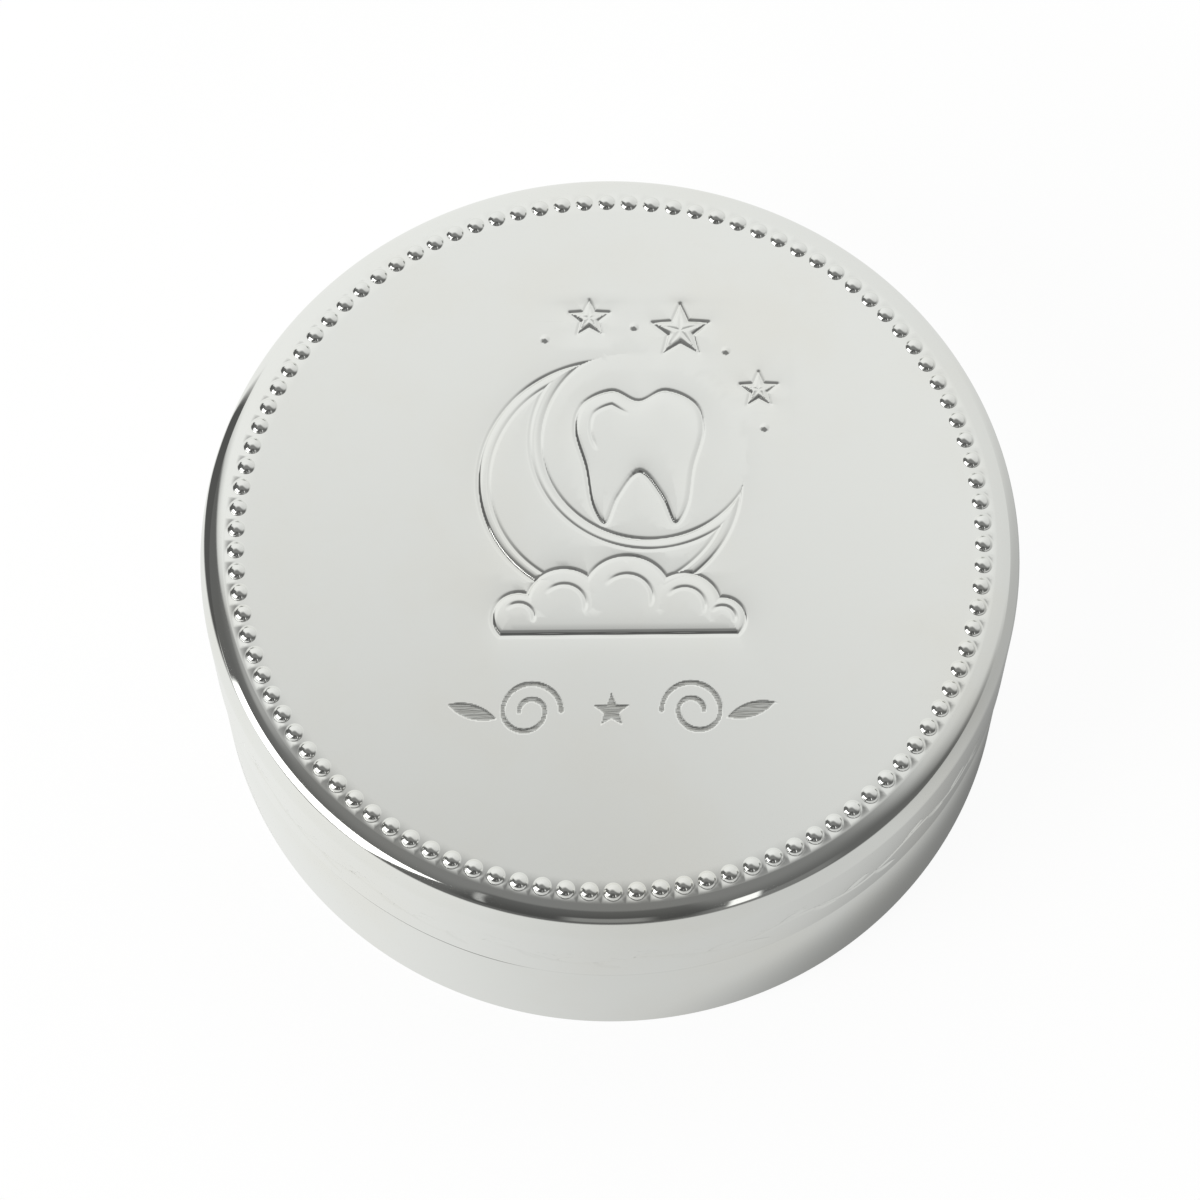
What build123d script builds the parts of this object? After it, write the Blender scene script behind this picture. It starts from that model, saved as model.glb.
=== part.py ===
from build123d import *
import math
import os

# A round keepsake box for milk teeth, in silver plate: a deep slip lid with a beaded
# border, over a cup with a neck collar, lined with velvet. +Z is up. The origin is the
# centre of the felt's underside, where the box stands, and +Y is the top of the design
# on the lid.

# Lid, a pressed cap
lid_radius = 30.0
lid_depth = 10.9
lid_wall = 0.9
shoulder_radius = 2.5
lip_round = 0.15

# Beaded border pressed up from the lid's top, so far in from the skirt
bead_inset = 2.8
bead_pitch = 1.675
bead_radius = 0.62
bead_height = 0.3

# Base, a drawn cup whose rim carries the lid
base_height = 12.35
base_step = 0.1
base_floor = 0.9
foot_round = 0.55
foot_rim_width = 3.0
foot_recess = 0.8
inner_round = 0.8
seat_gap = 0.05

# Neck collar, the sleeve that the lid slides over
collar_wall = 0.8
collar_rise = 6.0
collar_seat = 5.0
collar_round = 0.3
slip_clearance = 0.1
solder_gap = 0.03

# Felt under the base, a little prouder than the foot rim
felt_proud = 0.2
felt_edge_gap = 0.15

# Wall lining: velvet over a card strip
card_strip = 0.8
lining_gap = 0.1
lining_set = 0.3
velvet = 0.5
glue_gap = 0.05

# Floor pad: card, crowned foam and velvet drawn over both
floor_card = 1.0
floor_foam_edge = 1.6
floor_foam_crown = 0.9
floor_foam_round = 1.1
pad_edge_gap = 0.25

# Lid pad, the same build, facing down
lid_card = 0.8
lid_foam_edge = 1.0
lid_foam_crown = 0.6
lid_foam_round = 0.7
lid_pad_gap = 0.1

# Raised design in the middle of the lid: a tooth resting in a crescent moon that sinks
# into a cloud, with stars above
design_centre_y = 4.4
relief_height = 0.25
relief_root = 0.2
moon_radius = 9.6
moon_hollow_radius = 7.9
moon_hollow_x = 2.9
moon_hollow_y = 3.2
tooth_width = 9.4
tooth_height = 10.6
tooth_x = 2.2
tooth_y = 1.9
star_radius = 1.9
star_reach = 13.2

# Half of the tooth's outline, from the middle of the crown to the fork of the roots:
# shares of half the width, and of the height from the root tips
tooth_half_shares = [
    (0.00, 0.92),
    (0.42, 1.00),
    (0.88, 0.90),
    (1.00, 0.70),
    (0.84, 0.42),
    (0.74, 0.14),
    (0.54, 0.00),
    (0.34, 0.20),
    (0.00, 0.38),
]

# Cloud under the moon: where its base lies, and each puff's middle and radius as shares
# of the moon's radius
cloud_height = 0.35
cloud_base_y = -7.7
cloud_puff_shares = [
    (-0.69, -0.66, 0.20),
    (-0.35, -0.56, 0.29),
    (0.125, -0.51, 0.34),
    (0.56, -0.58, 0.27),
    (0.84, -0.68, 0.17),
]

# Stars round the upper right of the moon: bearing in degrees, share of the star's size
star_bearings_and_shares = [(96, 0.8), (66, 1.15), (33, 0.75)]
star_points = 5
star_waist_share = 0.45

# Engraved flourish below the design: a small star between two scrolls and two leaves
flourish_y = -13.6
flourish_line = 0.35
flourish_depth = 0.12
scroll_start = 3.6
scroll_radius = 2.1
scroll_turn_shares = [1.0, 0.72, 0.44]
flourish_star_radius = 1.3
leaf_length = 3.6
leaf_width = 1.1
leaf_x = 10.0
leaf_tilt = 18

# How far cutting solids run past what they cut
overrun = 1.0
# Two circles closer than this are taken as the same edge
same_edge = 0.001

# Heights, from the felt up
foot_level = felt_proud
recess_level = foot_level + foot_recess
floor_level = recess_level + base_floor
rim_level = foot_level + base_height
lip_level = rim_level + seat_gap
top_level = lip_level + lid_depth
collar_top = rim_level + collar_rise
lid_ceiling = top_level - lid_wall

# Radii, from the lid inwards
bead_ring_radius = lid_radius - bead_inset
lid_inner = lid_radius - lid_wall
base_radius = lid_radius - base_step
collar_outer = lid_inner - slip_clearance
collar_inner = collar_outer - collar_wall
base_inner = collar_outer + solder_gap
strip_outer = collar_inner - lining_gap
strip_inner = strip_outer - card_strip
lining_outer = strip_inner - glue_gap
lining_inner = lining_outer - velvet


def disc(radius, height, floor):
    """Upright cylinder standing on the level called floor."""
    base = (Align.CENTER, Align.CENTER, Align.MIN)
    return Pos(0, 0, floor) * Cylinder(radius, height, align=base)


def sleeve(outer, inner, height, floor):
    """Upright tube standing on the level called floor."""
    bore = disc(inner, height + 2 * overrun, floor - overrun)
    return disc(outer, height, floor) - bore


def edges_at(solid, radius, level):
    """Circular edges of one radius at one level."""
    circles = solid.edges().filter_by(GeomType.CIRCLE)
    found = []
    for edge in circles:
        same_radius = abs(edge.radius - radius) < same_edge
        same_level = abs(edge.arc_center.Z - level) < same_edge
        if same_radius and same_level:
            found.append(edge)
    return found


def eased(solid, radius, level, ease):
    """The solid with its circular edge at this radius and level rounded."""
    return fillet(edges_at(solid, radius, level), ease)


def crowned_disc(radius, edge_height, crown, ease):
    """Disc on the level zero with a crowned top and a rounded upper edge."""
    ball_radius = (radius**2 + crown**2) / (2 * crown)
    ball = Pos(0, 0, edge_height + crown - ball_radius) * Sphere(ball_radius)
    body = disc(radius, edge_height + crown, 0) & ball
    return eased(body, radius, edge_height, ease)


def make_bead():
    """One bead dome, its foot on the level zero and its root just below."""
    ball_radius = (bead_radius**2 + bead_height**2) / (2 * bead_height)
    ball = Pos(0, 0, bead_height - ball_radius) * Sphere(ball_radius)
    return ball & disc(bead_radius, bead_height + relief_root, -relief_root)


def bead_places():
    """Where the beads stand, evenly round the border, half a pitch from +X."""
    count = round(2 * math.pi * bead_ring_radius / bead_pitch)
    places = []
    for n in range(count):
        bearing = 360 * (n + 1 / 2) / count
        places.append(Rot(0, 0, bearing) * Pos(bead_ring_radius, 0, 0))
    return places


def tooth_face():
    """Outline of a milk tooth with two roots, centred on its middle."""
    half = []
    for across_share, up_share in tooth_half_shares:
        across = across_share * tooth_width / 2
        up = (up_share - 1 / 2) * tooth_height
        half.append((across, up))
    other = [(-across, up) for across, up in reversed(half[1:-1])]
    return make_face(Spline(*half, *other, periodic=True))


def star_face(radius):
    """Plain pointed star with one point up."""
    corners = []
    for n in range(2 * star_points):
        reach = radius if n % 2 == 0 else radius * star_waist_share
        angle = math.pi / 2 + math.pi * n / star_points
        corners.append((reach * math.cos(angle), reach * math.sin(angle)))
    return make_face(Polyline(*corners, close=True))


def moon_face():
    """Crescent moon that opens up and to the right."""
    hollow = Pos(moon_hollow_x, moon_hollow_y, 0) * Circle(moon_hollow_radius)
    return Circle(moon_radius) - hollow


def cloud_face():
    """Cloud of overlapping puffs with a flat base."""
    puffs = []
    for x_share, y_share, radius_share in cloud_puff_shares:
        puff = Circle(radius_share * moon_radius)
        puffs.append(Pos(x_share * moon_radius, y_share * moon_radius, 0) * puff)
    whole = puffs[0] + puffs[1:]
    side = 4 * moon_radius
    above = Rectangle(side, side, align=(Align.CENTER, Align.MIN))
    return whole & (Pos(0, cloud_base_y, 0) * above)


def raised(face, x, y, height):
    """A face pressed up from the lid's top, placed on the lid's plan."""
    root = Pos(x, y, top_level - relief_root)
    return root * extrude(face, relief_root + height)


def make_design():
    """The raised tooth, moon, cloud and stars."""
    pieces = [raised(moon_face(), 0, design_centre_y, relief_height)]
    pieces.append(raised(cloud_face(), 0, 0, cloud_height))
    pieces.append(raised(tooth_face(), tooth_x, design_centre_y + tooth_y, relief_height))
    for bearing, size_share in star_bearings_and_shares:
        x = star_reach * math.cos(math.radians(bearing))
        y = star_reach * math.sin(math.radians(bearing))
        face = star_face(star_radius * size_share)
        pieces.append(raised(face, x, design_centre_y + y, relief_height))
    return pieces


def half_turn(radius, upper):
    """Half of a ring-shaped line, as a face."""
    line = Circle(radius + flourish_line / 2) - Circle(radius - flourish_line / 2)
    side = 2 * (radius + flourish_line)
    edge = Align.MIN if upper else Align.MAX
    return line & Rectangle(side, side, align=(Align.CENTER, edge))


def make_scroll():
    """Line that curls in by half turns, each one tighter than the last."""
    pieces = []
    start = scroll_start
    way = 1
    for n, turn_share in enumerate(scroll_turn_shares):
        radius = scroll_radius * turn_share
        middle = start + way * radius
        pieces.append(Pos(middle, 0, 0) * half_turn(radius, n % 2 == 0))
        start = middle + way * radius
        way = -way
    return pieces


def make_leaf():
    """Pointed leaf outside the scroll, as a face."""
    side_radius = (leaf_length**2 + leaf_width**2) / (4 * leaf_width)
    offset = side_radius - leaf_width / 2
    leaf = (Pos(0, offset, 0) * Circle(side_radius)) & (Pos(0, -offset, 0) * Circle(side_radius))
    return Pos(leaf_x, 0, 0) * Rot(0, 0, leaf_tilt) * leaf


def make_flourish():
    """Cutting solids for the engraved star, its two scrolls and its two leaves."""
    right = [*make_scroll(), make_leaf()]
    left = [mirror(piece, about=Plane.YZ) for piece in right]
    middle = star_face(flourish_star_radius)
    place = Pos(0, flourish_y, top_level - flourish_depth)
    depth = flourish_depth + overrun
    return [place * extrude(face, depth) for face in [middle, *right, *left]]


def make_lid_shell():
    """Pressed cap with shoulder, beads, raised design and engraved flourish."""
    body = eased(disc(lid_radius, lid_depth, lip_level), lid_radius, top_level, shoulder_radius)
    hollow = disc(lid_inner, lid_depth - lid_wall + overrun, lip_level - overrun)
    hollow = eased(hollow, lid_inner, lid_ceiling, shoulder_radius - lid_wall)
    shell = body - hollow
    shell = eased(shell, lid_radius, lip_level, lip_round)
    shell = eased(shell, lid_inner, lip_level, lip_round)
    shell = shell - make_flourish()
    bead = make_bead()
    beads = [Pos(0, 0, top_level) * place * bead for place in bead_places()]
    return shell + [*beads, *make_design()]


def make_base_shell():
    """Drawn cup with a recess under its floor and a flat rim for the lid."""
    cup = disc(base_radius, base_height, foot_level)
    cup = eased(cup, base_radius, foot_level, foot_round)
    cup = eased(cup, base_radius, rim_level, lip_round)
    hollow = disc(base_inner, rim_level - floor_level + overrun, floor_level)
    hollow = eased(hollow, base_inner, floor_level, inner_round)
    recess = disc(base_radius - foot_rim_width, foot_recess + overrun, foot_level - overrun)
    return cup - hollow - recess


def make_neck_collar():
    """Sleeve soldered in the base, standing above its rim."""
    height = collar_seat + collar_rise
    tube = sleeve(collar_outer, collar_inner, height, rim_level - collar_seat)
    return eased(tube, collar_outer, collar_top, collar_round)


def make_wall_lining_board():
    """Card strip bent round inside the collar, standing on the floor."""
    top = collar_top - lining_set - velvet - glue_gap
    return sleeve(strip_outer, strip_inner, top - floor_level, floor_level)


def make_wall_lining_velvet():
    """Velvet on the strip's inner face, turned over its top edge."""
    top = collar_top - lining_set
    facing = sleeve(lining_outer, lining_inner, top - floor_level, floor_level)
    turned = sleeve(strip_outer, lining_inner, velvet, top - velvet)
    cloth = facing + turned
    soft = velvet / 2
    cloth = eased(cloth, lining_inner, top, soft)
    return eased(cloth, strip_outer, top, soft)


def make_pad(radius, card, foam_edge, foam_crown, foam_round):
    """Card, foam and velvet of a pad that stands on the level zero, face up."""
    core_radius = radius - velvet - glue_gap
    board = disc(core_radius, card, 0)
    foam_floor = card + glue_gap
    foam = crowned_disc(core_radius, foam_edge, foam_crown, foam_round)
    foam = Pos(0, 0, foam_floor) * foam
    core_height = foam_floor + foam_edge + glue_gap
    core_round = foam_round + glue_gap
    core = crowned_disc(core_radius + glue_gap, core_height, foam_crown, core_round)
    outside = crowned_disc(radius, core_height + velvet, foam_crown, core_round + velvet)
    return board, foam, outside - core


def make_floor_pad():
    """The pad on the base's floor, inside the wall lining."""
    radius = lining_inner - pad_edge_gap
    pieces = make_pad(radius, floor_card, floor_foam_edge, floor_foam_crown, floor_foam_round)
    return [Pos(0, 0, floor_level) * piece for piece in pieces]


def make_lid_pad():
    """The pad under the lid's top, face down, clear of the shell's inner corner."""
    radius = lid_inner - (shoulder_radius - lid_wall) - lid_pad_gap
    pieces = make_pad(radius, lid_card, lid_foam_edge, lid_foam_crown, lid_foam_round)
    return [Pos(0, 0, lid_ceiling - seat_gap) * Rot(180, 0, 0) * piece for piece in pieces]


def make_underside_felt():
    """Felt disc stuck in the recess under the floor."""
    radius = base_radius - foot_rim_width - felt_edge_gap
    return disc(radius, recess_level, 0)


def make_box():
    """Every piece of the box, by name."""
    floor_board, floor_foam, floor_velvet = make_floor_pad()
    lid_board, lid_foam, lid_velvet = make_lid_pad()
    return {
        "lid_shell": make_lid_shell(),
        "lid_pad_board": lid_board,
        "lid_pad_foam": lid_foam,
        "lid_pad_velvet": lid_velvet,
        "base_shell": make_base_shell(),
        "neck_collar": make_neck_collar(),
        "wall_lining_board": make_wall_lining_board(),
        "wall_lining_velvet": make_wall_lining_velvet(),
        "floor_pad_board": floor_board,
        "floor_pad_foam": floor_foam,
        "floor_pad_velvet": floor_velvet,
        "underside_felt": make_underside_felt(),
    }


os.makedirs("parts", exist_ok=True)
for name, piece in make_box().items():
    export_step(piece, f"parts/{name}.step")
    print(name, round(piece.volume, 2))
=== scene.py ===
"""Dresses the round silver-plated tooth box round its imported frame."""

import logging
import math
from collections.abc import Callable, Sequence
from dataclasses import dataclass, field
from enum import Enum

import bmesh
import bpy
import numpy as np
from mathutils import Matrix, Vector
from mathutils.geometry import tessellate_polygon


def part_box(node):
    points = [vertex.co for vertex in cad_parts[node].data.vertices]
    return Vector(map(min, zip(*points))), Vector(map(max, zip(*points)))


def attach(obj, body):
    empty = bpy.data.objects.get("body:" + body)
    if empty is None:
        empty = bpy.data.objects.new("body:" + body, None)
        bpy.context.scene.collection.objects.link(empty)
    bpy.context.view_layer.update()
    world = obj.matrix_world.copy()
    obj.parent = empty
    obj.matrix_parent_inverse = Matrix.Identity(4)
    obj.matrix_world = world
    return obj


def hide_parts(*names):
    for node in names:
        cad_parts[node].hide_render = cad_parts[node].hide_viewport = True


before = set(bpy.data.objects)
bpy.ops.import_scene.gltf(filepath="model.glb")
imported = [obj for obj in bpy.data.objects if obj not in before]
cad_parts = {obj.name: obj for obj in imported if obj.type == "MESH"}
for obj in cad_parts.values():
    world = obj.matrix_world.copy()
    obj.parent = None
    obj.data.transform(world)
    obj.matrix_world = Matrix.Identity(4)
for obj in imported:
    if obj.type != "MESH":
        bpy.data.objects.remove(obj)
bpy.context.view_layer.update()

MM = 0.001
TURN = 2 * math.pi
NEAR_AXIS = 0.02
log = logging.getLogger("tooth_box")

Number = float | int
Span = tuple[float, float]
Colour = tuple[float, float, float]


class Body(Enum):
    """The box's rigid bodies."""

    BASE = "base"
    LID_LINING = "lid_lining"
    LID = "lid"


class Slot(Enum):
    """The record's material slots."""

    SILVER = "silver_plate"
    VELVET = "velvet"
    PADDING = "padding"
    CARD = "card"
    FELT = "felt"


class Value:
    """A shader socket that Python arithmetic works on."""

    def __init__(self, recipe: "Recipe", socket: bpy.types.NodeSocket | None) -> None:
        """Wrap one output socket.

        Args:
            recipe: The node tree that holds it.
            socket: The output socket, or None for a node that has none.
        """
        self.recipe = recipe
        self.socket = socket

    def maths(self, operation: str, *others: "Value | Number") -> "Value":
        """Add a Math node with this value first.

        Args:
            operation: The Math node's operation.
            others: Its other inputs.

        Returns:
            The node's result.
        """
        inputs = dict(enumerate((self, *others)))
        return self.recipe.add("ShaderNodeMath", {"operation": operation}, inputs)

    def other(self, name: str) -> "Value":
        """Another output of the same node, by its name."""
        return Value(self.recipe, self.socket.node.outputs[name])

    def at_least(self, least: "Value | Number") -> "Value":
        """The larger of this and another value."""
        return self.maths("MAXIMUM", least)

    def smooth(self, low: "Value | Number", high: Number) -> "Value":
        """A soft step from 0 at low to 1 at high."""
        settings = {"interpolation_type": "SMOOTHSTEP"}
        inputs = {"Value": self, "From Min": low, "From Max": high}
        return self.recipe.add("ShaderNodeMapRange", settings, inputs)

    def between(self, start: Span, end: Span) -> "Value":
        """1 between two soft steps, each given as its 0 and its 1."""
        return self.smooth(*start) * self.smooth(*end)

    def blend(self, start: "Value | Number", end: "Value | Number") -> "Value":
        """The value start where this is 0 and end where it is 1."""
        return start + (end - start) * self

    def __add__(self, other: "Value | Number") -> "Value":
        """Sum."""
        return self.maths("ADD", other)

    def __radd__(self, other: Number) -> "Value":
        """Sum with a number first."""
        return self.maths("ADD", other)

    def __sub__(self, other: "Value | Number") -> "Value":
        """Difference."""
        return self.maths("SUBTRACT", other)

    def __rsub__(self, other: Number) -> "Value":
        """Difference from a number."""
        return self.recipe.add("ShaderNodeMath", {"operation": "SUBTRACT"}, {0: other, 1: self})

    def __mul__(self, other: "Value | Number") -> "Value":
        """Product."""
        return self.maths("MULTIPLY", other)

    def __rmul__(self, other: Number) -> "Value":
        """Product with a number first."""
        return self.maths("MULTIPLY", other)

    def __truediv__(self, other: "Value | Number") -> "Value":
        """Quotient."""
        return self.maths("DIVIDE", other)

    def __pow__(self, other: Number) -> "Value":
        """Power."""
        return self.maths("POWER", other)

    def __abs__(self) -> "Value":
        """Size without its sign."""
        return self.maths("ABSOLUTE")


Sockets = dict[str | int, Value | Number | Sequence[float]]


class Recipe:
    """The node tree of one finish, world or floor."""

    mix_colours: tuple[int, int] = (6, 7)
    mix_result: int = 2

    def __init__(self, owner: bpy.types.Material | bpy.types.World) -> None:
        """Start with an empty tree.

        Args:
            owner: The material or world that the tree belongs to.
        """
        owner.use_nodes = True
        self.tree = owner.node_tree
        self.tree.nodes.clear()

    def add(
        self,
        kind: str,
        settings: dict[str, object] | None = None,
        inputs: Sockets | None = None,
        output: str | int = 0,
    ) -> Value:
        """Add one node.

        Args:
            kind: The node's type.
            settings: Its own settings, set first.
            inputs: What goes into its sockets, by name or number: values to set or link.
            output: The output to return.

        Returns:
            That output.
        """
        node = self.tree.nodes.new(kind)
        for name, setting in (settings or {}).items():
            setattr(node, name, setting)
        for name, value in (inputs or {}).items():
            socket = node.inputs[name]
            if isinstance(value, Value):
                self.tree.links.new(value.socket, socket)
            else:
                socket.default_value = value
        if not node.outputs:
            return Value(self, None)
        return Value(self, node.outputs[output])

    def place(self) -> Value:
        """Where a point lies in the box's own frame, in metres."""
        return self.add("ShaderNodeTexCoord", output="Object")

    def axes(self, place: Value) -> tuple[Value, Value, Value]:
        """The x, y and z of a place or a direction."""
        across = self.add("ShaderNodeSeparateXYZ", None, {0: place})
        return across, across.other("Y"), across.other("Z")

    def stretched(self, place: Value, scale: Sequence[float], turn: Number = 0.0) -> Value:
        """A place turned about the upright and scaled.

        Args:
            place: The place.
            scale: Scale along each axis, after the turn.
            turn: The turn, in radians.

        Returns:
            The new place.
        """
        inputs = {"Vector": place, "Scale": tuple(scale), "Rotation": (0.0, 0.0, turn)}
        return self.add("ShaderNodeMapping", None, inputs)

    def noise(self, place: Value, size: Number, detail: Number = 2.0, rough: Number = 0.5) -> Value:
        """Soft noise from 0 to 1.

        Args:
            place: Where it is read.
            size: The size of its largest lumps, in metres.
            detail: How many finer layers it has.
            rough: How strong the finer layers are.

        Returns:
            The noise.
        """
        inputs = {"Vector": place, "Scale": 1 / size, "Detail": detail, "Roughness": rough}
        return self.add("ShaderNodeTexNoise", None, inputs)

    def mix(self, mask: "Value | Number", start: "Value | Colour", end: "Value | Colour") -> Value:
        """A colour between two.

        Args:
            mask: 0 for the first and 1 for the second.
            start: The first colour.
            end: The second colour.

        Returns:
            The mixed colour.
        """
        tints = [tint if isinstance(tint, Value) else (*tint, 1.0) for tint in (start, end)]
        inputs = {0: mask, **dict(zip(self.mix_colours, tints, strict=True))}
        return self.add("ShaderNodeMix", {"data_type": "RGBA"}, inputs, self.mix_result)

    def choose(self, mask: "Value | Number", first: Value, second: Value) -> Value:
        """The first shader where the mask is 0 and the second where it is 1."""
        return self.add("ShaderNodeMixShader", None, {0: mask, 1: first, 2: second})

    def bump(self, height: Value, depth: Number, strength: Number = 1.0) -> Value:
        """Surface normal of a bumpy surface.

        Args:
            height: Height from 0 to 1.
            depth: How far 1 stands above 0, in metres.
            strength: How much of it shows.

        Returns:
            The normal.
        """
        inputs = {"Height": height, "Distance": depth, "Strength": strength}
        return self.add("ShaderNodeBump", None, inputs, "Normal")

    def finish(self, kind: str, shader: Value) -> None:
        """Link the shader to the tree's output, a node of that kind."""
        self.add(kind, None, {"Surface": shader})


class Finish:
    """A surface finish, made once as a material."""

    def make(self, name: str) -> bpy.types.Material:
        """Build the material.

        Args:
            name: The material's name.

        Returns:
            The material.
        """
        material = bpy.data.materials.new(name)
        recipe = Recipe(material)
        shader = recipe.add("ShaderNodeBsdfPrincipled", None, self.sockets(recipe))
        recipe.finish("ShaderNodeOutputMaterial", shader)
        return material

    def sockets(self, recipe: Recipe) -> Sockets:
        """What goes into the shader's sockets, which each finish gives."""
        raise NotImplementedError


def distance(x: Value, y: Value) -> Value:
    """How far a place lies from the one where both of these are 0."""
    return (x**2 + y**2) ** 0.5


def bearing_of(x: Value, y: Value) -> Value:
    """The bearing of a place or a direction in degrees, 0 in front and 90 to the right."""
    return x.maths("ARCTAN2", 0 - y) * math.degrees(1)


@dataclass(frozen=True)
class SilverPlate(Finish):
    """Mirror-polished silver plate with faint haze, hairline scratches and painted shade in the
    seam.
    """

    colour: Colour = (0.935, 0.94, 0.925)
    warm: Colour = (0.925, 0.92, 0.89)
    polish: float = 0.035
    haze: float = 0.035
    haze_size: float = 14 * MM
    haze_edge: Span = (0.42, 0.72)
    scratch: float = 0.09
    scratch_length: float = 5 * MM
    scratch_width: float = 0.05 * MM
    scratch_edge: Span = (0.66, 0.74)
    scratch_turns: Span = (0.5, 2.2)
    ripple_size: float = 7 * MM
    ripple_depth: float = 0.0012 * MM
    # The colour of the painted shade in the seam between lid and base.
    seam_shade: Colour = (0.20, 0.20, 0.19)
    seam_level: float = 12.5 * MM
    seam_half: float = 0.2 * MM
    seam_edge: Span = (0.32 * MM, 0.16 * MM)
    seam_radius: float = 29.3 * MM
    seam_place: Span = (-14.1 * MM, -26.5 * MM)
    seam_reach: float = 9.5 * MM
    seam_rest: float = 0.06

    def hairlines(self, recipe: Recipe, turn: float) -> Value:
        """Thin straight scratches that run one way.

        Args:
            recipe: The tree to add to.
            turn: The way that they run, in radians.

        Returns:
            1 on a scratch and 0 off it.
        """
        across = self.scratch_length / self.scratch_width
        place = recipe.stretched(recipe.place(), (1.0, across, across), turn)
        lines = recipe.noise(place, self.scratch_length, detail=1.0)
        return lines.smooth(*self.scratch_edge)

    def painted_seam_shade(self, recipe: Recipe) -> Value:
        """Painted shade in the seam between lid and base, most of it left of the front.

        Args:
            recipe: The tree to add to.

        Returns:
            1 where it is darkest and 0 off it.
        """
        x, y, z = recipe.axes(recipe.place())
        line = abs(z - self.seam_level).smooth(*self.seam_edge)
        out = distance(x, y).smooth(self.seam_radius, self.seam_radius + self.seam_half)
        away = distance(x - self.seam_place[0], y - self.seam_place[1])
        most = away.smooth(self.seam_reach, self.seam_reach / 2)
        return line * out * most.blend(self.seam_rest, 1.0)

    def sockets(self, recipe: Recipe) -> Sockets:
        """Polished metal.

        Args:
            recipe: The tree to add to.

        Returns:
            What goes into the shader's sockets.
        """
        place = recipe.place()
        haze = recipe.noise(place, self.haze_size, detail=4.0, rough=0.6)
        haze = haze.smooth(*self.haze_edge)
        scratches = sum(self.hairlines(recipe, turn) for turn in self.scratch_turns)
        colour = recipe.mix(haze, self.colour, self.warm)
        # Painted shade darkens the seam between lid and base.
        colour = recipe.mix(self.painted_seam_shade(recipe), colour, self.seam_shade)
        rough = self.polish + haze * self.haze + scratches * self.scratch
        ripple = recipe.noise(place, self.ripple_size, detail=1.0)
        return {
            "Base Color": colour,
            "Metallic": 1.0,
            "Roughness": rough,
            "Normal": recipe.bump(ripple, self.ripple_depth),
        }


@dataclass(frozen=True)
class CutSilver(Finish):
    """Silver plate inside an engraved line, satin from the fine strokes of the cutter, its colour
    darkened as painted shade in the groove.
    """

    # Both colours are painted shade in the engraved groove, darkest between the cutter's strokes.
    colour: Colour = (0.66, 0.665, 0.65)
    stroke_gap_shade: Colour = (0.52, 0.52, 0.50)
    stroke_length: float = 1.4 * MM
    stroke_width: float = 0.11 * MM
    stroke_edge: Span = (0.4, 0.6)
    stroke_turn: float = 1.1
    polish: float = 0.3
    dullness: float = 0.12
    depth: float = 0.012 * MM

    def sockets(self, recipe: Recipe) -> Sockets:
        """Satin metal with fine strokes.

        Args:
            recipe: The tree to add to.

        Returns:
            What goes into the shader's sockets.
        """
        across = self.stroke_length / self.stroke_width
        place = recipe.stretched(recipe.place(), (1.0, across, 1.0), self.stroke_turn)
        strokes = recipe.noise(place, self.stroke_length, detail=1.0)
        cut = strokes.smooth(*self.stroke_edge)
        return {
            "Base Color": recipe.mix(cut, self.stroke_gap_shade, self.colour),
            "Metallic": 1.0,
            "Roughness": self.polish + self.dullness * cut,
            "Normal": recipe.bump(cut, self.depth),
        }


@dataclass(frozen=True)
class Velvet(Finish):
    """Short-pile velvet, its pile brushed both ways, with painted sheen on the brushed patches and
    painted shade among its tufts.
    """

    pile: Colour = (0.022, 0.035, 0.10)
    lit_pile: Colour = (0.05, 0.075, 0.19)
    sheen: float = 0.7
    sheen_tint: Colour = (0.45, 0.55, 0.85)
    brush_size: float = 5 * MM
    brush_edge: Span = (0.35, 0.68)
    pile_size: float = 0.16 * MM
    pile_edge: Span = (0.3, 0.7)
    pile_shade: float = 0.35
    pile_depth: float = 0.09 * MM

    def sockets(self, recipe: Recipe) -> Sockets:
        """Cloth with sheen.

        Args:
            recipe: The tree to add to.

        Returns:
            What goes into the shader's sockets.
        """
        place = recipe.place()
        brushing_and_sheen = recipe.noise(place, self.brush_size, detail=3.0, rough=0.6)
        brushing_and_sheen = brushing_and_sheen.smooth(*self.brush_edge)
        tufts = recipe.noise(place, self.pile_size, rough=0.7)
        # Painted sheen: brushed patches take the lighter lit pile colour. Painted shade: the tufts
        # darken back towards the plain pile.
        shade = recipe.mix(brushing_and_sheen, self.pile, self.lit_pile)
        tuft_shade = tufts.smooth(*self.pile_edge) * self.pile_shade
        colour = recipe.mix(tuft_shade, shade, self.pile)
        return {
            "Base Color": colour,
            "Roughness": 0.86 + brushing_and_sheen * 0.08,
            "Specular IOR Level": 0.2,
            "Sheen Weight": self.sheen,
            "Sheen Roughness": 0.35,
            "Sheen Tint": (*self.sheen_tint, 1.0),
            "Normal": recipe.bump(tufts, self.pile_depth, strength=0.7),
        }


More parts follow.
